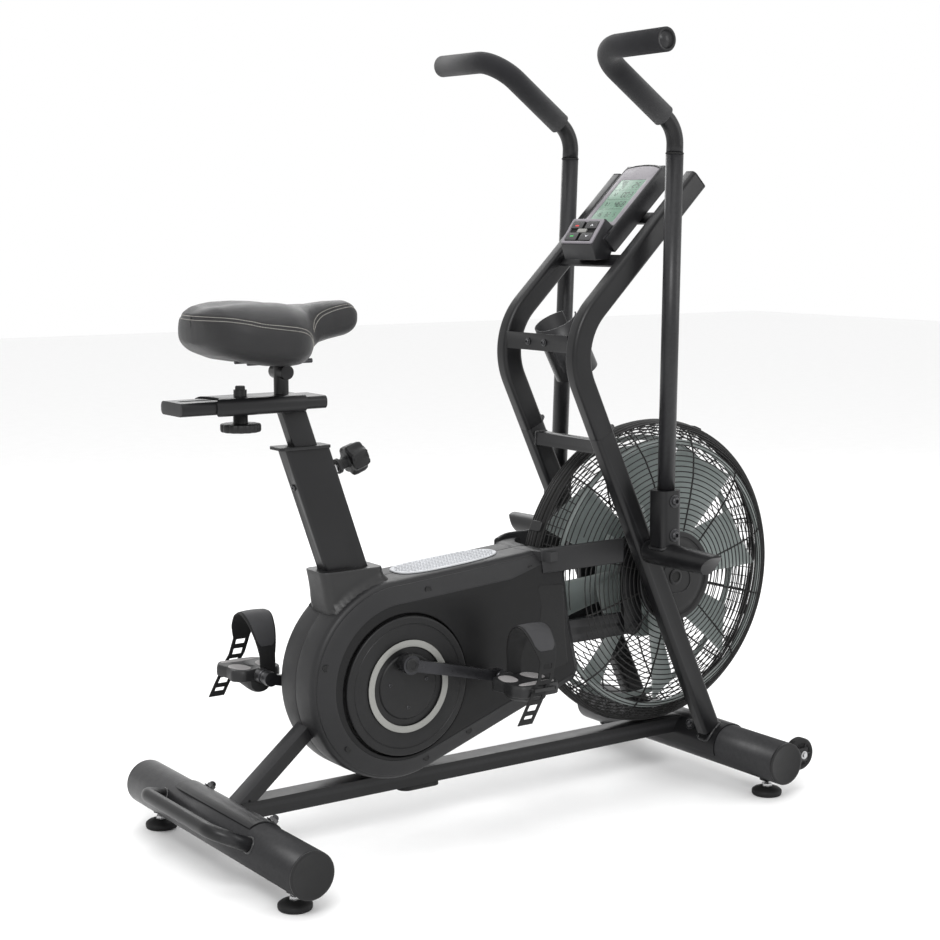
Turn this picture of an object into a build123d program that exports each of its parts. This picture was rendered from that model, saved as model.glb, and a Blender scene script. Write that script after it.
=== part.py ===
from build123d import *
import math
import os

# ---------------------------------------------------------------- driving dimensions (mm)
X0 = 563.5            # rear stabiliser axis sits this far behind the origin

# stabilisers
stab_r = 40.0
stab_wall = 2.5
stab_z = 70.0
rear_x = 0.0 - X0
front_x = 1024.7 - X0
rear_half = 295.0
front_half = 287.0
saddle_t = 3.0
saddle_half = 136.0

# levelling feet
foot_y_rear = 242.0
foot_y_front = 240.0
foot_r = 28.2
foot_h = 16.0
stud_r = 5.0
stud_clear = 0.08

# main beam and strut
beam_w = 40.0
beam_z0 = 76.6
beam_z1 = 106.6
strut_w = 38.0
strut_t = 20.0

# mast
tube_y = 105.0
tube_w = 30.0
tube_d = 42.0
leg_slope = 0.4645          # run per rise, leaning back as it climbs
leg_ref_x = 719.0 - X0
leg_ref_z = 700.0
mast_vx = 643.8 - X0
mast_vz = 861.9
mast_bend_r = 122.0
mast_top_x = 938.0 - X0
mast_top_z = 1151.0
mast_joint_z = 692.0

# arms
pivot_x = 827.0 - X0
pivot_z = 470.0
arm_y = 162.0
arm_lean = 1.5
arm_phase = 0.65            # each arm is this far from the middle of its swing
post_r = 16.0
shaft_r = 12.0
shaft_clear = 0.05
lever_len = 148.0
foam_r = 20.5

# crank
crank_x = 321.4 - X0
crank_z = 278.2
disc_r = 123.2
ring_ro = 81.75
ring_ri = 70.0
throw_x = -9.6
throw_z = 44.0
crank_len_x = 185.2
crank_len_z = -46.2
spindle_r = 10.0

# fan and guard
fan_x = 927.0 - X0
fan_z = 404.5
cage_r = 297.0
fan_r = 260.0
hub_r = 87.0

# seat group
post_angle = 19.36          # seat tube lean, degrees back from vertical
post_base_x = 274.4 - X0
post_base_z = 380.0
seat_tube_top = 697.0       # tube end, cut level
knob_h = 280.0              # height pin, measured along the tube

os.makedirs("parts", exist_ok=True)


def legx(z):
    return leg_ref_x + (leg_ref_z - z) * leg_slope


post_s = math.sin(math.radians(post_angle))
post_c = math.cos(math.radians(post_angle))
post_plane = Plane(origin=(post_base_x, 0, post_base_z), x_dir=(post_c, 0, post_s), z_dir=(-post_s, 0, post_c))
leg_deg = math.degrees(math.atan(leg_slope))
leg_u = (-math.sin(math.radians(leg_deg)), math.cos(math.radians(leg_deg)))

# ================================================================ stabilisers
with BuildPart() as rear_stabilizer:
    with BuildSketch(Plane.XZ.offset(rear_half)):
        with Locations((rear_x, stab_z)):
            Circle(stab_r)
            Circle(stab_r - stab_wall, mode=Mode.SUBTRACT)
    extrude(amount=-2 * rear_half)
    with Locations((rear_x, foot_y_rear, stab_z - stab_r + 3), (rear_x, -foot_y_rear, stab_z - stab_r + 3)):
        Cylinder(14, 9)
    with Locations((rear_x, foot_y_rear, stab_z - 30), (rear_x, -foot_y_rear, stab_z - 30)):
        Cylinder(stud_r + stud_clear, 60, mode=Mode.SUBTRACT)

with BuildPart() as transport_handle:
    with BuildLine() as handle_line:
        FilletPolyline(
            (rear_x - 30, 161, 84), (rear_x - 85, 122, 108),
            (rear_x - 85, -122, 108), (rear_x - 30, -161, 84), radius=38)
    with BuildSketch(Plane(origin=handle_line.line @ 0, z_dir=handle_line.line % 0)):
        Circle(12)
    sweep()
    with BuildSketch(Plane.XZ.offset(300)):
        with Locations((rear_x, stab_z)):
            Circle(stab_r + 0.05)
    extrude(amount=-600, mode=Mode.SUBTRACT)

with BuildPart() as front_stabilizer:
    with BuildSketch(Plane.XZ.offset(front_half)):
        with Locations((front_x, stab_z)):
            Circle(stab_r)
            Circle(stab_r - stab_wall, mode=Mode.SUBTRACT)
    extrude(amount=-2 * front_half)
    with Locations((front_x, foot_y_front, stab_z - stab_r + 3), (front_x, -foot_y_front, stab_z - stab_r + 3)):
        Cylinder(14, 9)
    with Locations((front_x, foot_y_front, stab_z - 30), (front_x, -foot_y_front, stab_z - 30)):
        Cylinder(stud_r + stud_clear, 60, mode=Mode.SUBTRACT)

with BuildPart() as stabilizer_caps:
    for cx, half in ((rear_x, rear_half), (front_x, front_half)):
        for s in (1, -1):
            with Locations(Location((cx, s * (half + 2.2), stab_z), (90, 0, 0))):
                Cylinder(stab_r - 0.8, 4.0)

with BuildPart() as wheel_brackets:
    for s in (1, -1):
        for off in (-13.0, 13.0):
            with Locations((front_x + stab_r + 22, s * 247 + off, 69)):
                Box(44.4, 3.0, 26)
    with BuildSketch(Plane.XZ.offset(300)):
        with Locations((front_x, stab_z)):
            Circle(stab_r + 0.02)
    extrude(amount=-600, mode=Mode.SUBTRACT)
    for s in (1, -1):
        with Locations(Location((front_x + stab_r + 35, s * 247, 68), (90, 0, 0))):
            Cylinder(4.0, 34)

with BuildPart() as wheel_right:
    with BuildSketch(Plane.XZ.offset(257)):
        with Locations((front_x + stab_r + 35, 68)):
            Circle(31)
            Circle(4.05, mode=Mode.SUBTRACT)
    extrude(amount=-20)
with BuildPart() as wheel_left:
    with BuildSketch(Plane.XZ.offset(-237)):
        with Locations((front_x + stab_r + 35, 68)):
            Circle(31)
            Circle(4.05, mode=Mode.SUBTRACT)
    extrude(amount=-20)

with BuildPart() as foot_rear_right:
    with Locations((rear_x, -foot_y_rear, foot_h / 2)):
        Cylinder(foot_r, foot_h)
    with Locations((rear_x, -foot_y_rear, 30)):
        Cylinder(stud_r, 60)
with BuildPart() as foot_rear_left:
    with Locations((rear_x, foot_y_rear, foot_h / 2)):
        Cylinder(foot_r, foot_h)
    with Locations((rear_x, foot_y_rear, 30)):
        Cylinder(stud_r, 60)
with BuildPart() as foot_front_right:
    with Locations((front_x, -foot_y_front, foot_h / 2)):
        Cylinder(foot_r, foot_h)
    with Locations((front_x, -foot_y_front, 30)):
        Cylinder(stud_r, 60)
with BuildPart() as foot_front_left:
    with Locations((front_x, foot_y_front, foot_h / 2)):
        Cylinder(foot_r, foot_h)
    with Locations((front_x, foot_y_front, 30)):
        Cylinder(stud_r, 60)

# ================================================================ main frame weldment
with BuildPart() as main_frame:
    # flat beam between the saddles
    with Locations(((rear_x + front_x) / 2, 0, (beam_z0 + beam_z1) / 2)):
        Box(front_x - rear_x, beam_w, beam_z1 - beam_z0)
    # rear strut up to the seat tube
    with BuildSketch(Plane.XZ.offset(strut_w / 2)):
        with BuildLine():
            Polyline((12 - X0, 100), (42 - X0, 96), (262 - X0, 281.5), (249 - X0, 297.5), close=True)
        make_face()
    extrude(amount=-strut_w)
    # crank bearing shell on a riser plate, tied forward and back
    with BuildSketch(Plane.XZ.offset(15)):
        with BuildLine():
            Polyline((300 - X0, 95), (342 - X0, 95), (342 - X0, 262), (300 - X0, 262), close=True)
        make_face()
        with BuildLine():
            Polyline((240 - X0, 292), (300 - X0, 256), (318 - X0, 256), (318 - X0, 292), (250 - X0, 318), close=True)
        make_face()
    extrude(amount=-30)
    with Locations(Location((crank_x, 0, crank_z), (90, 0, 0))):
        Cylinder(22, 84)
    # seat tube, rectangular, open at the top
    with BuildSketch(post_plane):
        RectangleRounded(80, 34, 5)
    extrude(amount=-95)
    with BuildSketch(post_plane):
        RectangleRounded(80, 34, 5)
    extrude(amount=356)
    with BuildSketch(post_plane):
        RectangleRounded(74, 29, 3)
    extrude(amount=360, mode=Mode.SUBTRACT)
    with Locations((160 - X0, 0, seat_tube_top + 30)):
        Box(160, 60, 60, mode=Mode.SUBTRACT)
    # legs
    for s in (1, -1):
        with BuildSketch(Plane(origin=(legx(mast_joint_z), s * tube_y, mast_joint_z), x_dir=(leg_u[1], 0, -leg_u[0]), z_dir=(-leg_u[0], 0, -leg_u[1]))):
            RectangleRounded(tube_d, tube_w, 8)
        extrude(amount=650)
    # cross tube between the legs
    with Locations((legx(668), 0, 668)):
        Box(26, 2 * tube_y - tube_w + 6, 24)
    # saddles over both stabilisers
    with BuildSketch(Plane.XZ.offset(saddle_half)):
        with Locations((front_x, stab_z)):
            Circle(stab_r + 0.03 + saddle_t)
    extrude(amount=-2 * saddle_half)
    with BuildSketch(Plane.XZ.offset(saddle_half)):
        with Locations((rear_x, stab_z)):
            Circle(stab_r + 0.03 + saddle_t)
    extrude(amount=-2 * saddle_half)
    # keep only the upper part of each saddle
    with Locations((front_x, 0, stab_z - 60)):
        Box(140, 620, 90, mode=Mode.SUBTRACT)
    with Locations((rear_x, 0, stab_z - 60)):
        Box(140, 620, 90, mode=Mode.SUBTRACT)
    with Locations((rear_x - 52, 0, stab_z)):
        Box(62, 620, 72, mode=Mode.SUBTRACT)
    with Locations((front_x + 55, 0, stab_z - 8)):
        Box(62, 620, 40, mode=Mode.SUBTRACT)
    # tubes seat into the saddles
    with BuildSketch(Plane.XZ.offset(310)):
        with Locations((front_x, stab_z), (rear_x, stab_z)):
            Circle(stab_r + 0.03)
    extrude(amount=-620, mode=Mode.SUBTRACT)
    # bores
    with Locations(post_plane * Location((0, 0, knob_h), (0, 90, 0))):
        Cylinder(6.1, 120, mode=Mode.SUBTRACT)
    with Locations(Location((crank_x, 0, crank_z), (90, 0, 0))):
        Cylinder(spindle_r + 0.05, 120, mode=Mode.SUBTRACT)
    with Locations(Location((pivot_x, 0, pivot_z), (90, 0, 0))):
        Cylinder(shaft_r + shaft_clear, 300, mode=Mode.SUBTRACT)

with BuildPart() as beam_pad:
    with BuildSketch(Plane.XY.offset(beam_z0 - 0.1)):
        with Locations((390 - X0, 0)):
            SlotOverall(84, 34)
    extrude(amount=-9)

with BuildPart() as stabilizer_bolts:
    for cx, sx, by in ((rear_x, 1, 112), (front_x, -1, 60)):
        for s in (1, -1):
            ang = math.radians(47)
            px = cx + sx * math.sin(ang) * (stab_r + saddle_t + 9.2)
            pz = stab_z + math.cos(ang) * (stab_r + saddle_t + 9.2)
            with Locations(Location((px, s * by, pz), (0, sx * 47, 0))):
                Cylinder(7.0, 17)

# ================================================================ mast
with BuildPart() as upper_mast:
    for s in (1, -1):
        with BuildLine() as mast_line:
            FilletPolyline(
                (legx(mast_joint_z + 0.25), s * tube_y, mast_joint_z + 0.25),
                (mast_vx, s * tube_y, mast_vz),
                (mast_top_x, s * tube_y, mast_top_z), radius=mast_bend_r)
        with BuildSketch(Plane(origin=mast_line.line @ 0, x_dir=(leg_u[1], 0, -leg_u[0]), z_dir=(leg_u[0], 0, leg_u[1]))):
            RectangleRounded(tube_d, tube_w, 8)
        sweep(path=mast_line.wires()[0])
    # flat tie plate, bolted-on holder behind it
    with Locations((655 - X0, 0, 858)):
        Box(4, 2 * tube_y - tube_w + 4, 31)
    # console carrier between the tubes
    with BuildSketch(Plane(origin=(790 - X0, 0, 1003), x_dir=(0.713, 0, 0.701), z_dir=(-0.701, 0, 0.713))):
        with Locations((0, 0), (110, 0)):
            Rectangle(28, 2 * tube_y - tube_w + 4)
    extrude(amount=4)

with BuildPart() as mast_caps:
    for s in (1, -1):
        with BuildSketch(Plane(origin=(mast_top_x + 0.15, s * tube_y, mast_top_z + 0.15), x_dir=(0.701, 0, -0.713), z_dir=(0.713, 0, 0.701))):
            RectangleRounded(tube_d, tube_w, 8)
        extrude(amount=3)

with BuildPart() as bottle_holder:
    with BuildSketch(Plane(origin=(748 - X0, 0, 800), x_dir=(0.88, 0, 0.47), z_dir=(-0.47, 0, 0.88))):
        Circle(41)
        Circle(38, mode=Mode.SUBTRACT)
        with Locations((45, 0)):
            Rectangle(60, 34, mode=Mode.SUBTRACT)
    extrude(amount=108)
    with BuildSketch(Plane(origin=(748 - X0, 0, 800), x_dir=(0.88, 0, 0.47), z_dir=(-0.47, 0, 0.88))):
        Circle(41)
    extrude(amount=4)
    with Locations((671.2 - X0, 0, 858)):
        Box(28, 26, 24)
    with BuildSketch(Plane(origin=(748 - X0, 0, 800), x_dir=(0.88, 0, 0.47), z_dir=(-0.47, 0, 0.88))):
        Circle(37.9)
    extrude(amount=120, mode=Mode.SUBTRACT)
    with BuildSketch(Plane(origin=(748 - X0, 0, 800), x_dir=(0.88, 0, 0.47), z_dir=(-0.47, 0, 0.88))):
        Circle(39)
    extrude(amount=4)

# ================================================================ chain covers
with BuildPart() as cover_right:
    with BuildSketch(Plane.XZ.offset(0.2)):
        with Locations((318 - X0, 285)):
            Circle(177)
        with BuildLine():
            Polyline((318 - X0, 462), (613 - X0, 484), (668 - X0, 478), (678 - X0, 440), (690 - X0, 350),
                     (712 - X0, 254), (702 - X0, 231.2), (376.2 - X0, 117.8), close=True)
        make_face()
    extrude(amount=71.8)
    with BuildSketch(Plane.XZ.offset(0.1)):
        with Locations((318 - X0, 285)):
            Circle(173)
        with BuildLine():
            Polyline((318 - X0, 458), (613 - X0, 480), (780 - X0, 480), (780 - X0, 262),
                     (701 - X0, 235.2), (374.8 - X0, 121.6), close=True)
        make_face()
    extrude(amount=68, mode=Mode.SUBTRACT)
    # arm reaching forward beside the guard
    with BuildSketch(Plane.XZ.offset(84)):
        with BuildLine():
            Polyline((600 - X0, 482), (640 - X0, 494), (788 - X0, 494), (802 - X0, 448), (640 - X0, 446), (600 - X0, 456), close=True)
        make_face()
    extrude(amount=8)
    with BuildSketch(Plane.XZ.offset(66)):
        with BuildLine():
            Polyline((560 - X0, 474), (600 - X0, 482), (628 - X0, 488), (628 - X0, 452), (560 - X0, 452), close=True)
        make_face()
    extrude(amount=26)
    # openings: crank disc, seat tube, strut, beam side
    with Locations(Location((crank_x, -70, crank_z), (90, 0, 0))):
        Cylinder(disc_r + 2.0, 12, mode=Mode.SUBTRACT)
    with BuildSketch(post_plane):
        Rectangle(81, 35)
    extrude(amount=200, mode=Mode.SUBTRACT)
    with BuildSketch(Plane.XZ.offset(strut_w / 2 + 1)):
        with BuildLine():
            Polyline((-20 - X0, 108), (40 - X0, 70), (262 - X0, 280), (249 - X0, 299), (100 - X0, 206), close=True)
        make_face()
    extrude(amount=-2 * strut_w, mode=Mode.SUBTRACT)
    with Locations((321 - X0, 0, 130)):
        Box(44, 31, 80, mode=Mode.SUBTRACT)
    # clearance round the guard's rim
    with Locations(Location((fan_x, -33, fan_z), (90, 0, 0))):
        Cylinder(303, 66, mode=Mode.SUBTRACT)

with BuildPart() as cover_left:
    add(mirror(cover_right.part, about=Plane.XZ, mode=Mode.PRIVATE))

with BuildPart() as seat_tube_boot:
    with BuildSketch(Plane.XY.offset(340)):
        with Locations((233 - X0, 0)):
            RectangleRounded(154, 70, 20)
    extrude(amount=145)
    with BuildSketch(Plane.XZ.offset(60)):
        with BuildLine():
            Polyline((156 - X0, 486), (156 - X0, 474), (167 - X0, 428), (160 - X0, 350), (260 - X0, 350), (340 - X0, 440), (304 - X0, 470), (290 - X0, 486), close=True)
        make_face()
    extrude(amount=-120, mode=Mode.INTERSECT)
    with BuildSketch(post_plane.offset(-60)):
        Rectangle(80.6, 34.6)
    extrude(amount=220, mode=Mode.SUBTRACT)
    with BuildSketch(Plane.XZ.offset(90)):
        with Locations((318 - X0, 285)):
            Circle(177.3)
        with BuildLine():
            Polyline((318 - X0, 462.3), (613 - X0, 484.3), (668 - X0, 478), (700 - X0, 241), (374 - X0, 127.5), close=True)
        make_face()
    extrude(amount=-180, mode=Mode.SUBTRACT)

with BuildPart() as step_pad:
    with BuildSketch(Plane(origin=(449 - X0, 0, 472.15), x_dir=(math.cos(math.radians(4.27)), 0, math.sin(math.radians(4.27))), z_dir=(-math.sin(math.radians(4.27)), 0, math.cos(math.radians(4.27))))):
        SlotOverall(216, 84)
    extrude(amount=4)

# ================================================================ guard
with BuildPart() as guard_right:
    prof = ((90.0, 80.0), (148.0, 78.5), (195.0, 74.0), (235.0, 63.0), (268.0, 44.0), (288.0, 22.0))
    for rr, yy in prof:
        with Locations(Location((fan_x, -yy, fan_z), (90, 0, 0))):
            Torus(rr, 2.2)
    with Locations(Location((fan_x, -4.2, fan_z), (90, 0, 0))):
        Torus(cage_r - 4, 4)
    for k in range(12):
        a = math.radians(15 + 30 * k)
        with BuildLine() as spoke_line:
            Spline(*[(fan_x + rr * math.cos(a), -yy, fan_z + rr * math.sin(a)) for rr, yy in prof + ((cage_r - 4, 5.5),)])
        with BuildSketch(Plane(origin=spoke_line.line @ 0, z_dir=spoke_line.line % 0)):
            Circle(1.9)
        sweep(path=spoke_line.wires()[0])
    with Locations((655 - X0, -50, 322)):
        Box(130, 120, 70, mode=Mode.SUBTRACT)
    with Locations((655 - X0, -75, 360)):
        Box(126, 22, 300, mode=Mode.SUBTRACT)
    with BuildSketch(Plane.XZ.offset(0.15)):
        Rectangle(2400, 2400)
    extrude(amount=-40, mode=Mode.SUBTRACT)

with BuildPart() as guard_left:
    add(mirror(guard_right.part, about=Plane.XZ, mode=Mode.PRIVATE))

with BuildPart() as hub_covers:
    for s in (1, -1):
        with Locations(Location((fan_x, s * 79.0, fan_z), (90, 0, 0))):
            Cylinder(hub_r, 6)
    for s in (1, -1):
        with Locations(Location((fan_x, s * 60.0, fan_z), (90, 0, 0))):
            Cylinder(16, 33)

with BuildPart() as fan:
    with Locations(Location((fan_x, 0, fan_z), (90, 0, 0))):
        Cylinder(56, 60)
    for k in range(8):
        a = 45 * k + 10
        ar = math.radians(a)
        with Locations(Location((fan_x + 150 * math.cos(ar), 0, fan_z + 150 * math.sin(ar)), (0, -a, 0))):
            with Locations(Location((0, 0, 0), (32, 0, 0))):
                Box(206, 3, 92)
    with BuildSketch(Plane.XZ.offset(14)):
        with Locations((fan_x, fan_z)):
            Circle(fan_r)
            Circle(fan_r - 8, mode=Mode.SUBTRACT)
    extrude(amount=-28)
    with Locations(Location((fan_x, 0, fan_z), (90, 0, 0))):
        Cylinder(8, 200, mode=Mode.SUBTRACT)

with BuildPart() as fan_axle:
    with Locations(Location((fan_x, 0, fan_z), (90, 0, 0))):
        Cylinder(7.95, 86.8)

# ================================================================ crank group
with BuildPart() as crank_discs:
    for s in (1, -1):
        with Locations(Location((crank_x, s * 74.0, crank_z), (90, 0, 0))):
            Cylinder(disc_r, 8)
        with Locations(Location((crank_x + s * -throw_x, s * 74.0, crank_z + s * -throw_z), (90, 0, 0))):
            Cylinder(14, 34)
        with Locations(Location((crank_x, s * 64, crank_z), (90, 0, 0))):
            Cylinder(spindle_r + 8, 13)
    with Locations(Location((crank_x, 0, crank_z), (90, 0, 0))):
        Cylinder(spindle_r, 130)
with BuildPart() as crank_rings:
    for s in (1, -1):
        with BuildSketch(Plane.XZ.offset(s * 78.1)):
            with Locations((crank_x, crank_z)):
                Circle(ring_ro)
                Circle(ring_ri, mode=Mode.SUBTRACT)
        extrude(amount=s * 2.0)

with BuildPart() as crank_arm_right:
    with BuildSketch(Plane.XZ.offset(91.05)):
        with BuildLine():
            bx = crank_x + throw_x
            bz = crank_z + throw_z
            Polyline((bx - 3, bz + 10.8), (bx + crank_len_x, bz + crank_len_z + 9.5),
                     (bx + crank_len_x, bz + crank_len_z - 9.5), (bx - 3, bz - 10.8), close=True)
        make_face()
        with Locations((crank_x + throw_x, crank_z + throw_z)):
            Circle(17)
        with Locations((crank_x + throw_x + crank_len_x, crank_z + throw_z + crank_len_z)):
            Circle(13)
    extrude(amount=14)
    with Locations(Location((crank_x + throw_x + crank_len_x, -166.4, crank_z + throw_z + crank_len_z), (90, 0, 0))):
        Cylinder(6, 123)
with BuildPart() as crank_arm_left:
    with BuildSketch(Plane.XZ.offset(-91.05)):
        with BuildLine():
            cx2 = crank_x - throw_x
            cz2 = crank_z - throw_z
            Polyline((cx2 + 3, cz2 - 10.8), (cx2 - crank_len_x, cz2 - crank_len_z - 9.5),
                     (cx2 - crank_len_x, cz2 - crank_len_z + 9.5), (cx2 + 3, cz2 + 10.8), close=True)
        make_face()
        with Locations((crank_x - throw_x, crank_z - throw_z)):
            Circle(17)
        with Locations((crank_x - throw_x - crank_len_x, crank_z - throw_z - crank_len_z)):
            Circle(13)
    extrude(amount=-14)
    with Locations(Location((crank_x - throw_x - crank_len_x, 166.4, crank_z - throw_z - crank_len_z), (90, 0, 0))):
        Cylinder(6, 123)

# pedals, platform above and below the axle, counterweight hanging underneath
ped_rx = crank_x + throw_x + crank_len_x
ped_rz = crank_z + throw_z + crank_len_z
ped_lx = crank_x - throw_x - crank_len_x
ped_lz = crank_z - throw_z - crank_len_z
with BuildPart() as pedal_right:
    with BuildSketch(Plane.XY.offset(ped_rz - 10)):
        with Locations((ped_rx, -180)):
            RectangleRounded(96, 98, 26)
    extrude(amount=21)
    with Locations((ped_rx + 4, -184, ped_rz - 25)):
        Box(46, 66, 32)
    with Locations(Location((ped_rx, -180, ped_rz), (90, 0, 0))):
        Cylinder(6.05, 140, mode=Mode.SUBTRACT)
with BuildPart() as pedal_left:
    with BuildSketch(Plane.XY.offset(ped_lz - 10)):
        with Locations((ped_lx, 180)):
            RectangleRounded(96, 98, 26)
    extrude(amount=21)
    with Locations((ped_lx + 4, 184, ped_lz - 25)):
        Box(46, 66, 32)
    with Locations(Location((ped_lx, 180, ped_lz), (90, 0, 0))):
        Cylinder(6.05, 140, mode=Mode.SUBTRACT)

with BuildPart() as strap_right:
    with BuildSketch(Plane.YZ.offset(ped_rx - 5)):
        with Locations((-180, ped_rz + 11.2)):
            Ellipse(52, 96)
            Ellipse(48.5, 92.5, mode=Mode.SUBTRACT)
        with Locations((-180, ped_rz - 100)):
            Rectangle(200, 222.4, mode=Mode.SUBTRACT)
    extrude(amount=34)
    with BuildSketch(Plane.XZ.offset(229.2)):
        with BuildLine():
            Polyline((ped_rx - 28, ped_rz + 14), (ped_rx + 6, ped_rz + 14), (ped_rx - 22, ped_rz - 56), (ped_rx - 56, ped_rz - 56), close=True)
        make_face()
    extrude(amount=3)
with BuildPart() as strap_left:
    with BuildSketch(Plane.YZ.offset(ped_lx - 5)):
        with Locations((180, ped_lz + 11.2)):
            Ellipse(52, 96)
            Ellipse(48.5, 92.5, mode=Mode.SUBTRACT)
        with Locations((180, ped_lz - 100)):
            Rectangle(200, 222.4, mode=Mode.SUBTRACT)
    extrude(amount=34)
    with BuildSketch(Plane.XZ.offset(-232.2)):
        with BuildLine():
            Polyline((ped_lx - 28, ped_lz + 14), (ped_lx + 6, ped_lz + 14), (ped_lx - 22, ped_lz - 56), (ped_lx - 56, ped_lz - 56), close=True)
        make_face()
    extrude(amount=3)

# ================================================================ swinging arms
# drawn for the right side in the middle of the swing, then turned to the shown phase
with BuildPart() as raw_lower:
    with BuildSketch(Plane.XY.offset(486)):
        with Locations((829 - X0, -162)):
            RectangleRounded(46, 44, 11)
    extrude(amount=104)
    with Locations(Location((pivot_x, -159, pivot_z), (90, 0, 0))):
        Cylinder(22, 66)
    with Locations(Location((pivot_x, -247, pivot_z), (90, 0, 0))):
        Cone(22, 19.5, 112)
    with Locations(Location((pivot_x, -330, pivot_z - 30), (0, 90, 0))):
        Cylinder(52, 80, mode=Mode.SUBTRACT)
    with Locations(Location((pivot_x, -97, pivot_z), (90, 0, 0))):
        Cylinder(shaft_r, 78)
    with BuildSketch(Plane.XZ.offset(58)):
        with BuildLine():
            Polyline((pivot_x - 22, pivot_z), (pivot_x + 22, pivot_z), (pivot_x + 30, pivot_z - lever_len),
                     (pivot_x - 14, pivot_z - lever_len), close=True)
        make_face()
        with Locations((pivot_x, pivot_z), (pivot_x + 8, pivot_z - lever_len)):
            Circle(22)
    extrude(amount=8)
    with Locations(Location((pivot_x + 8, -53, pivot_z - lever_len), (90, 0, 0))):
        Cylinder(7, 14)
    with Locations(Location((830.5 - X0, -162, 560), (0, arm_lean, 0))):
        Cylinder(post_r + 0.05, 140, mode=Mode.SUBTRACT)

lean_t = math.tan(math.radians(arm_lean))
with BuildPart() as raw_post:
    with Locations(Location((830.5 + lean_t * 317 - X0, -162, 560 + 317), (0, arm_lean, 0))):
        Cylinder(post_r, 2 * 319.2)

elbow = (830.5 + lean_t * (1242 - 560) - X0, -162, 1242)
with BuildPart() as raw_bar:
    with BuildLine() as bar_line:
        FilletPolyline(
            (830.5 + lean_t * (1196.6 - 560) - X0, -162, 1196.6), elbow,
            (668 - X0, -162, 1372), (670 - X0, -342, 1374), radius=58)
    with BuildSketch(Plane(origin=bar_line.line @ 0, z_dir=bar_line.line % 0)):
        Circle(15.2)
    sweep(path=bar_line.wires()[0])

with BuildPart() as raw_grip:
    with BuildLine() as grip_line:
        FilletPolyline(
            (elbow[0] - 28, -162, elbow[2] + 28 * (1372 - elbow[2]) / (elbow[0] - 668 + X0)),
            (668 - X0, -162, 1372), (670 - X0, -342.5, 1374.0056), radius=58)
    with BuildSketch(Plane(origin=grip_line.line @ 0, z_dir=grip_line.line % 0)):
        Circle(foam_r)
        Circle(15.3, mode=Mode.SUBTRACT)
    sweep(path=grip_line.wires()[0])

r_turn = Pos(pivot_x, 0, pivot_z) * Rot(0, -arm_phase, 0) * Pos(-pivot_x, 0, -pivot_z)
l_turn = Pos(pivot_x, 0, pivot_z) * Rot(0, arm_phase, 0) * Pos(-pivot_x, 0, -pivot_z)
lower_m = raw_lower.part.mirror(Plane.XZ)
post_m = raw_post.part.mirror(Plane.XZ)
bar_m = raw_bar.part.mirror(Plane.XZ)
grip_m = raw_grip.part.mirror(Plane.XZ)
with BuildPart() as arm_lower_right:
    add(r_turn * raw_lower.part)
with BuildPart() as arm_lower_left:
    add(l_turn * lower_m)
with BuildPart() as arm_post_right:
    add(r_turn * raw_post.part)
with BuildPart() as arm_post_left:
    add(l_turn * post_m)
with BuildPart() as handlebar_right:
    add(r_turn * raw_bar.part)
with BuildPart() as handlebar_left:
    add(l_turn * bar_m)
with BuildPart() as grip_right:
    add(r_turn * raw_grip.part)
with BuildPart() as grip_left:
    add(l_turn * grip_m)

# drive links, lever pin to crank throw; the crank end is left free of its pin
ph = math.radians(arm_phase)
pin_dx = 8.0
pin_dz = -lever_len
rpin_x = pivot_x + pin_dx * math.cos(ph) - pin_dz * math.sin(ph)
rpin_z = pivot_z + pin_dx * math.sin(ph) + pin_dz * math.cos(ph)
lpin_x = pivot_x + pin_dx * math.cos(ph) + pin_dz * math.sin(ph)
lpin_z = pivot_z - pin_dx * math.sin(ph) + pin_dz * math.cos(ph)
with BuildPart() as link_right:
    with BuildSketch(Plane.XZ.offset(48.5)):
        with BuildLine():
            Polyline((312 - X0, rpin_z - 14), (380 - X0, rpin_z - 22), (rpin_x, rpin_z - 22), (rpin_x, rpin_z + 22), (380 - X0, rpin_z + 22), (312 - X0, rpin_z + 20), close=True)
        make_face()
        with Locations((rpin_x, rpin_z)):
            Circle(22)
        with Locations((rpin_x, rpin_z)):
            Circle(7.05, mode=Mode.SUBTRACT)
    extrude(amount=7.5)
with BuildPart() as link_left:
    with BuildSketch(Plane.XZ.offset(-48.5)):
        with BuildLine():
            Polyline((331 - X0, lpin_z - 6), (400 - X0, lpin_z - 22), (lpin_x, lpin_z - 22), (lpin_x, lpin_z + 22), (400 - X0, lpin_z + 22), (331 - X0, lpin_z + 20), close=True)
        make_face()
        with Locations((lpin_x, lpin_z)):
            Circle(22)
        with Locations((lpin_x, lpin_z)):
            Circle(7.05, mode=Mode.SUBTRACT)
    extrude(amount=-7.5)

# ================================================================ seat group
with BuildPart() as seat_tube_bushing:
    with BuildSketch(post_plane.offset(250)):
        RectangleRounded(73.9, 28.9, 3)
        RectangleRounded(44.1, 24.1, 4, mode=Mode.SUBTRACT)
    extrude(amount=106)
    with Locations((160 - X0, 0, seat_tube_top + 30.05)):
        Box(160, 60, 60, mode=Mode.SUBTRACT)
    with BuildSketch(Plane.XY.offset(seat_tube_top + 0.05)):
        with Locations((157 - X0, 0)):
            RectangleRounded(98, 44, 7)
    extrude(amount=5)
    with BuildSketch(post_plane.offset(240)):
        RectangleRounded(44.1, 24.1, 4)
    extrude(amount=140, mode=Mode.SUBTRACT)
    with Locations(post_plane * Location((0, 0, knob_h), (0, 90, 0))):
        Cylinder(6.1, 120, mode=Mode.SUBTRACT)

rail_z0 = 766.0
rail_z1 = 788.0
with BuildPart() as seat_post:
    with BuildSketch(post_plane.offset(150)):
        RectangleRounded(44, 24, 4)
    extrude(amount=270)
    with Locations((130 - X0, 0, rail_z0 + 50)):
        Box(200, 60, 100.0, mode=Mode.SUBTRACT)

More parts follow.
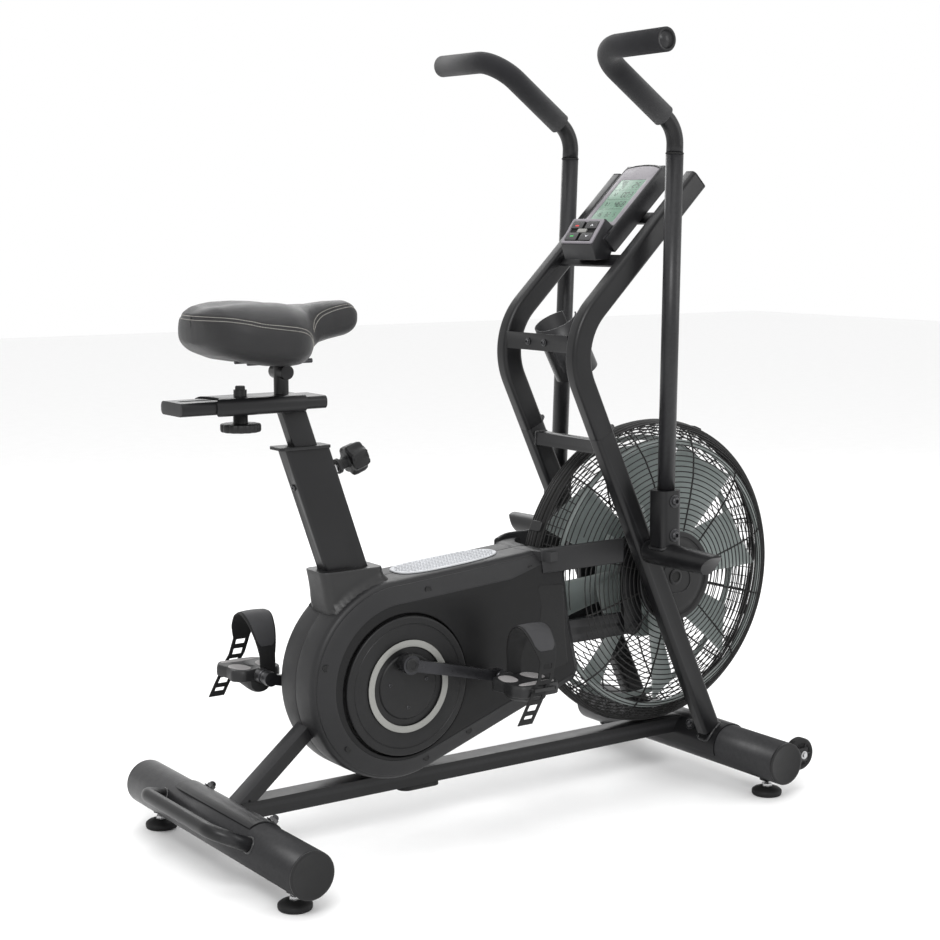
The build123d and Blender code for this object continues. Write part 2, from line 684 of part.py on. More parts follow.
with BuildPart() as height_knob:
    with Locations(post_plane * Location((88, 0, knob_h), (0, 90, 0))):
        Cylinder(28, 36)
    with Locations(post_plane * Location((59, 0, knob_h), (0, 90, 0))):
        Cylinder(10, 24)
    with Locations(post_plane * Location((38.3, 0, knob_h), (0, 90, 0))):
        Cylinder(6, 32)

with BuildPart() as seat_rail:
    with BuildSketch(Plane.YZ.offset(-79 - X0)):
        with Locations((0, (rail_z0 + rail_z1) / 2)):
            RectangleRounded(78, rail_z1 - rail_z0, 9)
    extrude(amount=267)
    with Locations((10 - X0, 0, 777)):
        Box(150, 13, 40, mode=Mode.SUBTRACT)

with BuildPart() as seat_carriage:
    with BuildSketch(Plane.YZ.offset(-18 - X0)):
        with Locations((0, (rail_z0 + rail_z1) / 2)):
            RectangleRounded(85, rail_z1 - rail_z0 + 7, 12)
            RectangleRounded(78.2, rail_z1 - rail_z0 + 0.2, 9, mode=Mode.SUBTRACT)
        with Locations((0, rail_z0 - 4)):
            Rectangle(50, 10, mode=Mode.SUBTRACT)
    extrude(amount=166)
    with Locations((122 - X0, 0, 814)):
        Cylinder(12.5, 46)
    with Locations(Location((122 - X0, 0, 828), (90, 0, 0))):
        Cylinder(12, 44)
    with Locations((-52 - X0, 0, 777)):
        Cylinder(52, 60, mode=Mode.SUBTRACT)
    with Locations((45 - X0, 0, 796)):
        Cylinder(11, 12)

with BuildPart() as carriage_knob:
    with Locations((45 - X0, 0, 739)):
        Cylinder(34, 14)
    with Locations((45 - X0, 0, 754)):
        Cylinder(12, 16.2)
    with Locations((45 - X0, 0, 774.8)):
        Cylinder(5.5, 26)

with BuildPart() as seat_clamp:
    for s in (1, -1):
        with Locations(Location((108 - X0, s * 22, 846.2), (0, 90, 0))):
            Cylinder(4, 120)
    with Locations((108 - X0, 0, 844.2)):
        Box(30, 54, 8)

with BuildPart() as seat_cushion:
    with BuildSketch(Plane.XY.offset(838)):
        with BuildLine():
            Spline((-42 - X0, 0), (-27 - X0, 80), (24 - X0, 124), (92 - X0, 121), (138 - X0, 84), (178 - X0, 46),
                   (239 - X0, 35), (265 - X0, 0), (239 - X0, -35), (178 - X0, -46), (138 - X0, -84),
                   (92 - X0, -121), (24 - X0, -124), (-27 - X0, -80), periodic=True)
        make_face()
    extrude(amount=112)
    with Locations((255 - X0, 0, 847)):
        Box(190, 300, 50, mode=Mode.SUBTRACT)
    with Locations((108 - X0, 0, 845)):
        Box(128, 62, 18, mode=Mode.SUBTRACT)

# ================================================================ console
with BuildPart() as console_housing:
    with BuildSketch(Plane.XZ.offset(54)):
        with BuildLine():
            Polyline((911 - X0, 1180), (770.6 - X0, 1044.5), (793.6 - X0, 1020.5), (934 - X0, 1156), close=True)
        make_face()
    extrude(amount=-108)
    with BuildSketch(Plane(origin=(844.5 - X0, 0, 1118), x_dir=(0.7194, 0, 0.6946), z_dir=(-0.6946, 0, 0.7194))):
        Rectangle(126.4, 70.4)
    extrude(amount=-3, mode=Mode.SUBTRACT)
    with BuildSketch(Plane.XZ.offset(46)):
        with BuildLine():
            Polyline((777 - X0, 1081), (744 - X0, 1034), (754 - X0, 1006), (786 - X0, 1008), (800 - X0, 1040), (802 - X0, 1062), close=True)
        make_face()
    extrude(amount=-92)

key_c = ((777 + 744) / 2 - X0, (1081 + 1034) / 2)
key_e = (33 / math.hypot(33, 47), 47 / math.hypot(33, 47))
key_plane = Plane(origin=(key_c[0], 0, key_c[1]), x_dir=(key_e[0], 0, key_e[1]), z_dir=(-key_e[1], 0, key_e[0]))
with BuildPart() as keypad_bezel:
    with BuildSketch(key_plane.offset(0.05)):
        RectangleRounded(50, 86, 4)
        for u, v in ((13, 21), (13, -21), (-13, 21), (-13, -21)):
            with Locations((u, v)):
                RectangleRounded(16.4, 34.4, 2, mode=Mode.SUBTRACT)
        RectangleRounded(8.4, 26.4, 1.5, mode=Mode.SUBTRACT)
    extrude(amount=3)
with BuildPart() as key_top_left:
    with BuildSketch(key_plane.offset(1.4)):
        with Locations((13, 21)):
            RectangleRounded(16, 34, 2)
    extrude(amount=2.6)
with BuildPart() as key_top_right:
    with BuildSketch(key_plane.offset(1.4)):
        with Locations((13, -21)):
            RectangleRounded(16, 34, 2)
    extrude(amount=2.6)
with BuildPart() as key_low_left:
    with BuildSketch(key_plane.offset(1.4)):
        with Locations((-13, 21)):
            RectangleRounded(16, 34, 2)
    extrude(amount=2.6)
with BuildPart() as key_low_right:
    with BuildSketch(key_plane.offset(1.4)):
        with Locations((-13, -21)):
            RectangleRounded(16, 34, 2)
    extrude(amount=2.6)
with BuildPart() as key_centre:
    with BuildSketch(key_plane.offset(1.4)):
        RectangleRounded(8, 26, 1.5)
    extrude(amount=2.6)
with BuildPart() as lcd_screen:
    with BuildSketch(Plane(origin=(844.5 - X0, 0, 1118), x_dir=(0.7194, 0, 0.6946), z_dir=(-0.6946, 0, 0.7194)).offset(-2.9)):
        Rectangle(126, 70)
    extrude(amount=2.4)

# ================================================================ export
nodes = {
    "rear_stabilizer": rear_stabilizer, "transport_handle": transport_handle,
    "front_stabilizer": front_stabilizer, "stabilizer_caps": stabilizer_caps,
    "wheel_brackets": wheel_brackets, "wheel_right": wheel_right, "wheel_left": wheel_left,
    "foot_rear_right": foot_rear_right, "foot_rear_left": foot_rear_left,
    "foot_front_right": foot_front_right, "foot_front_left": foot_front_left,
    "main_frame": main_frame, "beam_pad": beam_pad, "stabilizer_bolts": stabilizer_bolts,
    "upper_mast": upper_mast, "mast_caps": mast_caps, "bottle_holder": bottle_holder,
    "cover_right": cover_right, "cover_left": cover_left, "seat_tube_boot": seat_tube_boot,
    "step_pad": step_pad, "guard_right": guard_right, "guard_left": guard_left,
    "hub_covers": hub_covers, "fan": fan, "fan_axle": fan_axle,
    "crank_discs": crank_discs, "crank_rings": crank_rings,
    "crank_arm_right": crank_arm_right, "crank_arm_left": crank_arm_left,
    "pedal_right": pedal_right, "pedal_left": pedal_left,
    "strap_right": strap_right, "strap_left": strap_left,
    "arm_lower_right": arm_lower_right, "arm_lower_left": arm_lower_left,
    "arm_post_right": arm_post_right, "arm_post_left": arm_post_left,
    "handlebar_right": handlebar_right, "handlebar_left": handlebar_left,
    "grip_right": grip_right, "grip_left": grip_left,
    "link_right": link_right, "link_left": link_left,
    "seat_tube_bushing": seat_tube_bushing, "seat_post": seat_post, "height_knob": height_knob,
    "seat_rail": seat_rail, "seat_carriage": seat_carriage, "carriage_knob": carriage_knob,
    "seat_clamp": seat_clamp, "seat_cushion": seat_cushion,
    "console_housing": console_housing, "keypad_bezel": keypad_bezel, "lcd_screen": lcd_screen,
    "key_top_left": key_top_left, "key_top_right": key_top_right,
    "key_low_left": key_low_left, "key_low_right": key_low_right, "key_centre": key_centre,
}
for node_name, node in nodes.items():
    node.part.label = node_name
    export_step(node.part, "parts/" + node_name + ".step")
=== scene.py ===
import math
import random

import bmesh
import bpy
import numpy as np
from mathutils import Matrix, Vector


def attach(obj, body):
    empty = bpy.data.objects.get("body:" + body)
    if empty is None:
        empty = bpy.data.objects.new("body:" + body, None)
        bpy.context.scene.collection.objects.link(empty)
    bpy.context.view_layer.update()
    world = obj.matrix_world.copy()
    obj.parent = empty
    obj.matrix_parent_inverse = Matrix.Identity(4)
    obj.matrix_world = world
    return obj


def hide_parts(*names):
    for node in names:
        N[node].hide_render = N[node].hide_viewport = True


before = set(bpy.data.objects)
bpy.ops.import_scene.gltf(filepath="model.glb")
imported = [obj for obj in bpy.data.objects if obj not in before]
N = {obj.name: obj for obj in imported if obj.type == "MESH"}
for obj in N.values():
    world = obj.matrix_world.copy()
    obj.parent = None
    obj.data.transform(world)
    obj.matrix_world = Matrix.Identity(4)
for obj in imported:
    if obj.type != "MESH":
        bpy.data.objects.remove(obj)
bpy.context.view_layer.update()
X0 = 563.5
rng = random.Random(7)


def P(x, y, z):
    """millimetres from the rear stabiliser axis, to metres in the row frame"""
    return Vector(((x - X0) / 1000, y / 1000, z / 1000))


# ------------------------------------------------------------------ materials
class Nodes:
    def __init__(self, name):
        self.m = bpy.data.materials.new(name)
        self.m.use_nodes = True
        self.t = self.m.node_tree
        self.t.nodes.clear()
        self.out = self.n("ShaderNodeOutputMaterial")
        self.b = self.n("ShaderNodeBsdfPrincipled")
        self.link(self.b, "BSDF", self.out, "Surface")
        self.tc = self.n("ShaderNodeTexCoord")

    def n(self, kind, **kw):
        node = self.t.nodes.new(kind)
        for k, v in kw.items():
            setattr(node, k, v)
        return node

    def link(self, a, ao, b, bi):
        self.t.links.new(a.outputs[ao], b.inputs[bi])

    def noise(self, scale, detail=3.0, rough=0.55, stretch=None):
        x = self.n("ShaderNodeTexNoise")
        x.inputs["Scale"].default_value = scale
        x.inputs["Detail"].default_value = detail
        x.inputs["Roughness"].default_value = rough
        if stretch:
            mp = self.n("ShaderNodeMapping")
            mp.inputs["Scale"].default_value = stretch
            self.link(self.tc, "Object", mp, "Vector")
            self.link(mp, "Vector", x, "Vector")
        else:
            self.link(self.tc, "Object", x, "Vector")
        return x

    def voronoi(self, scale, feature="F1"):
        x = self.n("ShaderNodeTexVoronoi", feature=feature)
        x.inputs["Scale"].default_value = scale
        self.link(self.tc, "Object", x, "Vector")
        return x

    def ramp(self, src, out, stops):
        r = self.n("ShaderNodeValToRGB")
        while len(r.color_ramp.elements) > 1:
            r.color_ramp.elements.remove(r.color_ramp.elements[-1])
        for i, (pos, col) in enumerate(stops):
            e = r.color_ramp.elements[0] if i == 0 else r.color_ramp.elements.new(pos)
            e.position = pos
            e.color = (*col, 1) if hasattr(col, "__len__") else (col, col, col, 1)
        self.link(src, out, r, "Fac")
        return r

    def rng(self, src, out, a, b, c=0.0, d=1.0):
        r = self.n("ShaderNodeMapRange")
        r.inputs["From Min"].default_value = c
        r.inputs["From Max"].default_value = d
        r.inputs["To Min"].default_value = a
        r.inputs["To Max"].default_value = b
        self.link(src, out, r, "Value")
        return r

    def math(self, op, a, ao, b, bo=None):
        r = self.n("ShaderNodeMath", operation=op)
        self.link(a, ao, r, 0)
        if bo is None:
            r.inputs[1].default_value = b
        else:
            self.link(b, bo, r, 1)
        return r

    def mix(self, fac, fo, ca, cb):
        r = self.n("ShaderNodeMix", data_type="RGBA")
        self.link(fac, fo, r, "Factor")
        for key, v in (("A", ca), ("B", cb)):
            sock = [s for s in r.inputs if s.name == key and s.type == "RGBA"][0]
            if isinstance(v, tuple) and not hasattr(v[0], "bl_idname"):
                sock.default_value = (*v, 1)
            else:
                self.t.links.new(v[0].outputs[v[1]], sock)
        return r

    def bump(self, src, out, strength, dist, prev=None):
        b = self.n("ShaderNodeBump")
        b.inputs["Strength"].default_value = strength
        b.inputs["Distance"].default_value = dist
        self.link(src, out, b, "Height")
        if prev is not None:
            self.link(prev, "Normal", b, "Normal")
        return b


def finish(name, col, rough, metal=0.0, grain=(900, 0.12, 0.0004), var=0.12, rvar=0.06,
           wear=None, spec=0.5, sheen=0.0, coat=0.0, blotch=14, extra=None, cells=None):
    k = Nodes(name)
    b = k.b
    big = k.noise(blotch, 4)
    lo = tuple(c * (1 - var) for c in col)
    hi = tuple(min(1, c * (1 + var)) for c in col)
    ramp = k.ramp(big, "Fac", ((0.3, lo), (0.7, hi)))
    top = (ramp, "Color")
    if wear:
        geo = k.n("ShaderNodeNewGeometry")
        fine = k.noise(160, 5, 0.7)
        edge = k.rng(geo, "Pointiness", 0, 1, 0.53, 0.62)
        worn = k.math("MULTIPLY", edge, "Result", fine, "Fac")
        worn.use_clamp = True
        mx = k.mix(worn, "Value", top, wear)
        top = (mx, [s for s in mx.outputs if s.type == "RGBA"][0].name)
        colour_socket = [s for s in mx.outputs if s.type == "RGBA"][0]
        k.t.links.new(colour_socket, b.inputs["Base Color"])
    else:
        k.link(ramp, "Color", b, "Base Color")
    smudge = k.noise(blotch * 3.1, 5, 0.65)
    r = k.rng(smudge, "Fac", max(0.02, rough - rvar), min(1, rough + rvar), 0.3, 0.7)
    k.link(r, "Result", b, "Roughness")
    b.inputs["Metallic"].default_value = metal
    b.inputs["Specular IOR Level"].default_value = spec
    if sheen:
        b.inputs["Sheen Weight"].default_value = sheen
        b.inputs["Sheen Roughness"].default_value = 0.5
    if coat:
        b.inputs["Coat Weight"].default_value = coat
        b.inputs["Coat Roughness"].default_value = 0.25
    last = None
    if cells:
        v = k.voronoi(cells[0], cells[3] if len(cells) > 3 else "F1")
        last = k.bump(v, "Distance", cells[1], cells[2], None)
    if grain:
        g = k.noise(grain[0], 2, 0.5)
        last = k.bump(g, "Fac", grain[1], grain[2], last)
    if extra:
        last = extra(k, last) or last
    if last is not None:
        k.link(last, "Normal", b, "Normal")
    return k.m


M = {}
M["paint"] = finish("satin_charcoal_paint", (0.0060, 0.0060, 0.0066), 0.36, grain=(1500, 0.14, 0.0003), var=0.08, rvar=0.04, wear=(0.026, 0.026, 0.028), spec=0.30)
M["cover"] = finish("grained_cover_plastic", (0.0034, 0.0034, 0.0037), 0.44, grain=(2200, 0.2, 0.0003), var=0.10, rvar=0.04, wear=(0.016, 0.016, 0.017), spec=0.24)
# lighter copy of the cover plastic: painted light on the bevel band, deck top, wrap-round wall and arm, which catch the
# light from above
M["painted_lit_cover_band"] = finish("painted_lit_border_plastic", (0.0098, 0.0098, 0.0106), 0.48, grain=(2200, 0.2, 0.0003), var=0.08, rvar=0.04, wear=(0.022, 0.022, 0.023), spec=0.34)
M["cover_gloss"] = finish("smooth_facet_plastic", (0.0030, 0.0030, 0.0033), 0.30, grain=(2600, 0.08, 0.0002), var=0.10, rvar=0.04, spec=0.26)
M["cap"] = finish("moulded_cap_plastic", (0.0046, 0.0046, 0.0050), 0.46, grain=(1800, 0.2, 0.0003), var=0.12, wear=(0.022, 0.022, 0.023), spec=0.32)
M["rubber"] = finish("matte_rubber", (0.0060, 0.0060, 0.0064), 0.66, grain=(1200, 0.35, 0.0004), var=0.2, rvar=0.08, wear=(0.03, 0.03, 0.03), spec=0.3)
M["rubber_grey"] = finish("light_worn_rubber", (0.030, 0.030, 0.032), 0.6, grain=(1200, 0.3, 0.0004), var=0.14, rvar=0.05, spec=0.3)
M["foam"] = finish("cell_foam_sleeve", (0.0105, 0.0105, 0.0120), 0.88, grain=(2600, 0.45, 0.0004), var=0.14, spec=0.22, cells=(1900, 0.35, 0.0004), sheen=0.15)
M["steel_dark"] = finish("blackened_steel", (0.030, 0.030, 0.033), 0.30, metal=0.7, grain=(900, 0.15, 0.0002), var=0.2, wear=(0.16, 0.16, 0.16))
M["zinc"] = finish("zinc_plated_steel", (0.42, 0.42, 0.43), 0.30, metal=1.0, grain=(700, 0.1, 0.0002), var=0.12, wear=(0.6, 0.6, 0.6))
M["wire"] = finish("coated_wire", (0.0075, 0.0072, 0.0072), 0.45, grain=(1600, 0.1, 0.0002), var=0.15, spec=0.32)
M["fan"] = finish("fan_sheet_coating", (0.185, 0.213, 0.206), 0.44, grain=(1300, 0.12, 0.0003), var=0.07, wear=(0.33, 0.35, 0.34), spec=0.45)
M["ring"] = finish("satin_silver_ring", (0.235, 0.235, 0.222), 0.34, metal=0.35, grain=(1600, 0.08, 0.0002), var=0.05)
M["insert"] = finish("pale_pedal_rubber", (0.27, 0.26, 0.26), 0.62, grain=(1400, 0.3, 0.0004), var=0.10, spec=0.35)
M["pedal"] = finish("moulded_pedal_plastic", (0.0105, 0.0105, 0.0112), 0.5, grain=(1500, 0.22, 0.0003), var=0.12, wear=(0.03, 0.03, 0.03), spec=0.36)
M["shell"] = finish("console_shell_plastic", (0.0105, 0.0105, 0.0118), 0.40, grain=(2000, 0.16, 0.0002), var=0.08, wear=(0.03, 0.03, 0.03), spec=0.38)
M["bezel"] = finish("lilac_grey_bezel", (0.185, 0.172, 0.190), 0.38, grain=(2200, 0.1, 0.0002), var=0.05)
M["keys"] = finish("glossy_key_film", (0.008, 0.008, 0.009), 0.2, grain=(900, 0.05, 0.0002), var=0.2, coat=0.4)
M["red"] = finish("red_key_mark", (0.55, 0.03, 0.03), 0.35, var=0.1)
M["green"] = finish("green_key_mark", (0.03, 0.35, 0.07), 0.35, var=0.1)
M["white"] = finish("white_key_mark", (0.6, 0.6, 0.62), 0.4, var=0.06)
M["lcd"] = finish("lcd_glass", (0.150, 0.245, 0.185), 0.30, grain=None, var=0.04, coat=0.1, blotch=6, spec=0.25)
M["segment"] = finish("lcd_segment", (0.018, 0.030, 0.024), 0.3, grain=None, var=0.1)
M["dark"] = finish("shadow_gap_black", (0.004, 0.004, 0.004), 0.8, var=0.2)


def pad_extra(k, last):
    """raised staggered dashes of the tread pad"""
    mp = k.n("ShaderNodeMapping")
    mp.inputs["Rotation"].default_value = (0, 0, math.radians(45))
    k.link(k.tc, "Object", mp, "Vector")
    ch = k.n("ShaderNodeTexChecker")
    ch.inputs["Scale"].default_value = 190
    k.link(mp, "Vector", ch, "Vector")
    return k.bump(ch, "Fac", 0.5, 0.0004, last)


M["pad"] = finish("light_grey_tread_pad", (0.50, 0.51, 0.53), 0.62, grain=(1400, 0.3, 0.0004), var=0.08, extra=pad_extra, spec=0.35)


def leather_extra(k, last):
    v = k.voronoi(640, "DISTANCE_TO_EDGE")
    r = k.rng(v, "Distance", 0, 1, 0.0, 0.12)
    a = k.bump(r, "Result", 0.42, 0.0005, last)
    n2 = k.noise(45, 5, 0.6)
    return k.bump(n2, "Fac", 0.07, 0.0012, a)


M["leather"] = finish("charcoal_leatherette", (0.0068, 0.0066, 0.0073), 0.46, grain=(1500, 0.18, 0.0003), var=0.06, rvar=0.03, spec=0.36, sheen=0.03, extra=leather_extra, blotch=22)
M["thread"] = finish("light_thread", (0.46, 0.44, 0.40), 0.75, grain=(2600, 0.3, 0.0002), var=0.1)
M["weld"] = finish("weld_bead_paint", (0.0135, 0.0135, 0.0142), 0.36, grain=(700, 0.5, 0.0008), var=0.15)
M["clear_grey"] = finish("boot_plastic", (0.0040, 0.0040, 0.0043), 0.42, grain=(1900, 0.2, 0.0003), var=0.1, wear=(0.035, 0.035, 0.036))


# ------------------------------------------------------------------ mesh helpers
def add(name, verts, faces, body, mat, sharp=38, replaces=(), bevel=None, subs=0, merge=1e-6):
    me = bpy.data.meshes.new(name)
    me.from_pydata([tuple(v) for v in verts], [], [tuple(f) for f in faces])
    bm = bmesh.new()
    bm.from_mesh(me)
    if merge:
        bmesh.ops.remove_doubles(bm, verts=bm.verts, dist=merge)
    bmesh.ops.recalc_face_normals(bm, faces=bm.faces)
    bm.to_mesh(me)
    bm.free()
    me.polygons.foreach_set("use_smooth", [True] * len(me.polygons))
    me.set_sharp_from_angle(angle=math.radians(sharp))
    o = bpy.data.objects.new(name, me)
    bpy.context.scene.collection.objects.link(o)
    me.materials.append(M[mat] if isinstance(mat, str) else mat)
    if bevel:
        md = o.modifiers.new("edge", "BEVEL")
        md.width = bevel
        md.segments = 3
        md.limit_method = "ANGLE"
        md.angle_limit = math.radians(32)
        md.harden_normals = False
    if subs:
        md = o.modifiers.new("subdivide", "SUBSURF")
        md.levels = md.render_levels = subs
    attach(o, body)
    if replaces:
        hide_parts(*replaces)
    return o


def fillet(pts, r, n=9):
    """polyline with rounded corners; r is one radius or one per inner corner, in metres"""
    pts = [Vector(p) for p in pts]
    out = [pts[0]]
    for i in range(1, len(pts) - 1):
        a, b, c = pts[i - 1], pts[i], pts[i + 1]
        u, v = (a - b).normalized(), (c - b).normalized()
        rr = r[i - 1] if hasattr(r, "__len__") else r
        ang = u.angle(v)
        if ang > math.radians(178):
            out.append(b)
            continue
        t = rr / math.tan(ang / 2)
        t = min(t, 0.49 * (a - b).length, 0.49 * (c - b).length) if len(pts) > 3 else min(t, (a - b).length * .98, (c - b).length * .98)
        rr = t * math.tan(ang / 2)
        centre = b + (u + v).normalized() * (rr / math.sin(ang / 2))
        s, e = b + u * t - centre, b + v * t - centre
        total = s.angle(e)
        for k in range(n + 1):
            f = k / n
            w = (s * math.sin((1 - f) * total) + e * math.sin(f * total)) / math.sin(total)
            out.append(centre + w)
    out.append(pts[-1])
    return out


def sweep_data(path, section, closed=False, cap=True, up=None):
    """section is a list of (u, v) or a function of t giving one; parallel transport along path"""
    path = [Vector(p) for p in path]
    n = len(path)
    tang = []
    for i in range(n):
        if closed:
            d = path[(i + 1) % n] - path[i - 1]
        else:
            d = path[min(i + 1, n - 1)] - path[max(i - 1, 0)]
        tang.append(d.normalized())
    ref = Vector(up) if up else (Vector((0, 0, 1)) if abs(tang[0].z) < 0.9 else Vector((1, 0, 0)))
    u = (ref - tang[0] * ref.dot(tang[0])).normalized()
    verts, rows = [], []
    for i in range(n):
        if i and not up:
            q = tang[i - 1].rotation_difference(tang[i])
            u = q @ u
        elif up:
            u = (ref - tang[i] * ref.dot(tang[i])).normalized()
        u = (u - tang[i] * u.dot(tang[i])).normalized()
        w = tang[i].cross(u)
        sec = section(i / (n - 1)) if callable(section) else section
        rows.append(range(len(verts), len(verts) + len(sec)))
        verts += [path[i] + w * a + u * b for a, b in sec]
    faces = []
    k = len(rows[0])
    last = n if closed else n - 1
    for i in range(last):
        a, b = rows[i], rows[(i + 1) % n]
        for j in range(k):
            faces.append((a[j], a[(j + 1) % k], b[(j + 1) % k], b[j]))
    if cap and not closed:
        faces.append(tuple(rows[0])[::-1])
        faces.append(tuple(rows[-1]))
    return verts, faces


def circle(r, n=16):
    return [(r * math.cos(2 * math.pi * i / n), r * math.sin(2 * math.pi * i / n)) for i in range(n)]


def rrect(w, h, r, n=5):
    out = []
    for cx, cy, a0 in ((w / 2 - r, h / 2 - r, 0), (-w / 2 + r, h / 2 - r, 90), (-w / 2 + r, -h / 2 + r, 180), (w / 2 - r, -h / 2 + r, 270)):
        for k in range(n + 1):
            a = math.radians(a0 + 90 * k / n)
            out.append((cx + r * math.cos(a), cy + r * math.sin(a)))
    return out


def lathe_data(profile, origin, axis, n=48):
    """profile: (radius, height along axis) pairs, in metres"""
    axis = Vector(axis).normalized()
    ref = Vector((0, 0, 1)) if abs(axis.z) < 0.9 else Vector((1, 0, 0))
    u = (ref - axis * ref.dot(axis)).normalized()
    w = axis.cross(u)
    origin = Vector(origin)
    verts, faces, rows = [], [], []
    for r, h in profile:
        if r < 1e-7:
            rows.append([len(verts)])
            verts.append(origin + axis * h)
        else:
            rows.append(list(range(len(verts), len(verts) + n)))
            verts += [origin + axis * h + (u * math.cos(2 * math.pi * i / n) + w * math.sin(2 * math.pi * i / n)) * r for i in range(n)]
    for a, b in zip(rows, rows[1:]):
        for i in range(n):
            j = (i + 1) % n
            if len(a) == 1 and len(b) == 1:
                continue
            if len(a) == 1:
                faces.append((a[0], b[i], b[j]))
            elif len(b) == 1:
                faces.append((a[i], a[j], b[0]))
            else:
                faces.append((a[i], a[j], b[j], b[i]))
    return verts, faces


def join(parts):
    verts, faces = [], []
    for v, f in parts:
        k = len(verts)
        verts += list(v)
        faces += [tuple(i + k for i in face) for face in f]
    return verts, faces


def inset(pts, d):
    """2-D outline, counter-clockwise, moved inward by d"""
    n = len(pts)
    out = []
    for i in range(n):
        a, b, c = (np.array(pts[i - 1]), np.array(pts[i]), np.array(pts[(i + 1) % n]))
        e1, e2 = b - a, c - b
        n1 = np.array((-e1[1], e1[0])) / (np.linalg.norm(e1) + 1e-12)
        n2 = np.array((-e2[1], e2[0])) / (np.linalg.norm(e2) + 1e-12)
        m = n1 + n2
        m /= np.linalg.norm(m) + 1e-12
        s = max(0.5, float(m @ n1))
        out.append(tuple(b + m * d / s))
    return out


def resample(pts, step):
    out = []
    n = len(pts)
    for i in range(n):
        a, b = np.array(pts[i], float), np.array(pts[(i + 1) % n], float)
        k = max(1, int(np.linalg.norm(b - a) / step))
        out += [tuple(a + (b - a) * j / k) for j in range(k)]
    return out


def prism_data(outline, place, layers, cap0=True, cap1=True):
    """layers: (height, inset) pairs; place(u, v, h) gives the point in space"""
    verts, faces, rows = [], [], []
    for h, d in layers:
        pts = inset(outline, d) if d else outline
        rows.append(list(range(len(verts), len(verts) + len(pts))))
        verts += [place(u, v, h) for u, v in pts]
    k = len(outline)
    for a, b in zip(rows, rows[1:]):
        for i in range(k):
            j = (i + 1) % k
            faces.append((a[i], a[j], b[j], b[i]))
    if cap0:
        faces.append(tuple(rows[0])[::-1])
    if cap1:
        faces.append(tuple(rows[-1]))
    return verts, faces


def round2(pts, r, n=8):
    """2-D closed outline with rounded corners (one radius or one per corner)"""
    k = len(pts)
    out = []
    for i in range(k):
        a, b, c = (np.array(pts[i - 1], float), np.array(pts[i], float), np.array(pts[(i + 1) % k], float))
        rr = r[i] if hasattr(r, "__len__") else r
        if rr <= 0:
            out.append(tuple(b))
            continue
        u, v = a - b, c - b
        lu, lv = np.linalg.norm(u), np.linalg.norm(v)
        u, v = u / lu, v / lv
        ang = math.acos(max(-1, min(1, float(u @ v))))
        if ang > math.radians(176):
            out.append(tuple(b))
            continue
        t = min(rr / math.tan(ang / 2), 0.48 * lu, 0.48 * lv)
        rr = t * math.tan(ang / 2)
        m = (u + v) / np.linalg.norm(u + v)
        centre = b + m * rr / math.sin(ang / 2)
        s, e = b + u * t - centre, b + v * t - centre
        a0, a1 = math.atan2(s[1], s[0]), math.atan2(e[1], e[0])
        da = (a1 - a0 + math.pi) % (2 * math.pi) - math.pi
        out += [tuple(centre + rr * np.array((math.cos(a0 + da * j / n), math.sin(a0 + da * j / n)))) for j in range(n + 1)]
    return out


def ccw(pts):
    a = sum(p[0] * q[1] - q[0] * p[1] for p, q in zip(pts, pts[1:] + pts[:1]))
    return pts if a > 0 else pts[::-1]


def frame_axes(axis, up=(0, 0, 1)):
    w = Vector(axis).normalized()
    u = Vector(up)
    u = (u - w * u.dot(w)).normalized()
    return w.cross(u) * -1, u, w


def bolt(origin, axis, r=0.007, h=0.006, kind="hex", washer=True):
    """hex, dome (acorn) or socket button bolt head data at origin, pointing along axis"""
    parts = []
    base = 0.0
    if washer:
        parts.append(lathe_data([(0, 0), (r * 1.45, 0), (r * 1.5, 0.0004), (r * 1.5, 0.0012), (r * 1.4, 0.0015), (0, 0.0015)], origin, axis, 24))
        base = 0.0014
    if kind == "socket":
        parts.append(lathe_data([(0, base), (r, base), (r, base + h * .35), (r * .93, base + h * .7), (r * .7, base + h), (r * .52, base + h * 1.02), (r * .46, base + h * .96), (r * .46, base + h * .4), (0, base + h * .4)], origin, axis, 24))
        return join(parts)
    v, f = lathe_data([(0, base), (r, base), (r, base + h * .8), (r * .88, base + h)] + ([(0, base + h)] if kind == "hex" else [(r * .8, base + h), (r * .78, base + h * 1.3), (r * .6, base + h * 1.7), (r * .3, base + h * 1.92), (0, base + h * 1.98)]), origin, axis, 6 if kind == "hex" else 24)
    parts.append((v, f))
    if kind == "dome":
        parts.append(lathe_data([(0, base), (r * 1.15, base), (r * 1.15, base + h * .8), (r * .95, base + h * .95), (0, base + h * .95)], origin, axis, 6))
    return join(parts)


# ------------------------------------------------------------------ wire guard
FX, FZ = 927.0, 404.5
PROF = ((84.0, 80.2), (90.0, 80.0), (148.0, 78.5), (195.0, 74.0), (235.0, 63.0), (268.0, 44.0), (284.0, 28.0), (293.0, 5.5))


def guard_y(r):
    return float(np.interp(r, [p[0] for p in PROF], [p[1] for p in PROF]))


def arcs(pts_ok, n):
    """runs of consecutive indices that are allowed, round a closed ring"""
    if all(pts_ok):
        return None
    start = next(i for i in range(n) if pts_ok[i] and not pts_ok[i - 1])
    runs, cur = [], []
    for k in range(n):
        i = (start + k) % n
        if pts_ok[i]:
            cur.append(i)
        elif cur:
            runs.append(cur)
            cur = []
    if cur:
        runs.append(cur)
    return [r for r in runs if len(r) > 2]


def guard_free(x, z, y):
    """the guard stops where the chain cover and its bracket stand"""
    if x < 716 and 215 < z < 496 and y > 61:
        return False
    if 590 < x < 719 and 288 < z < 356:
        return False
    return True


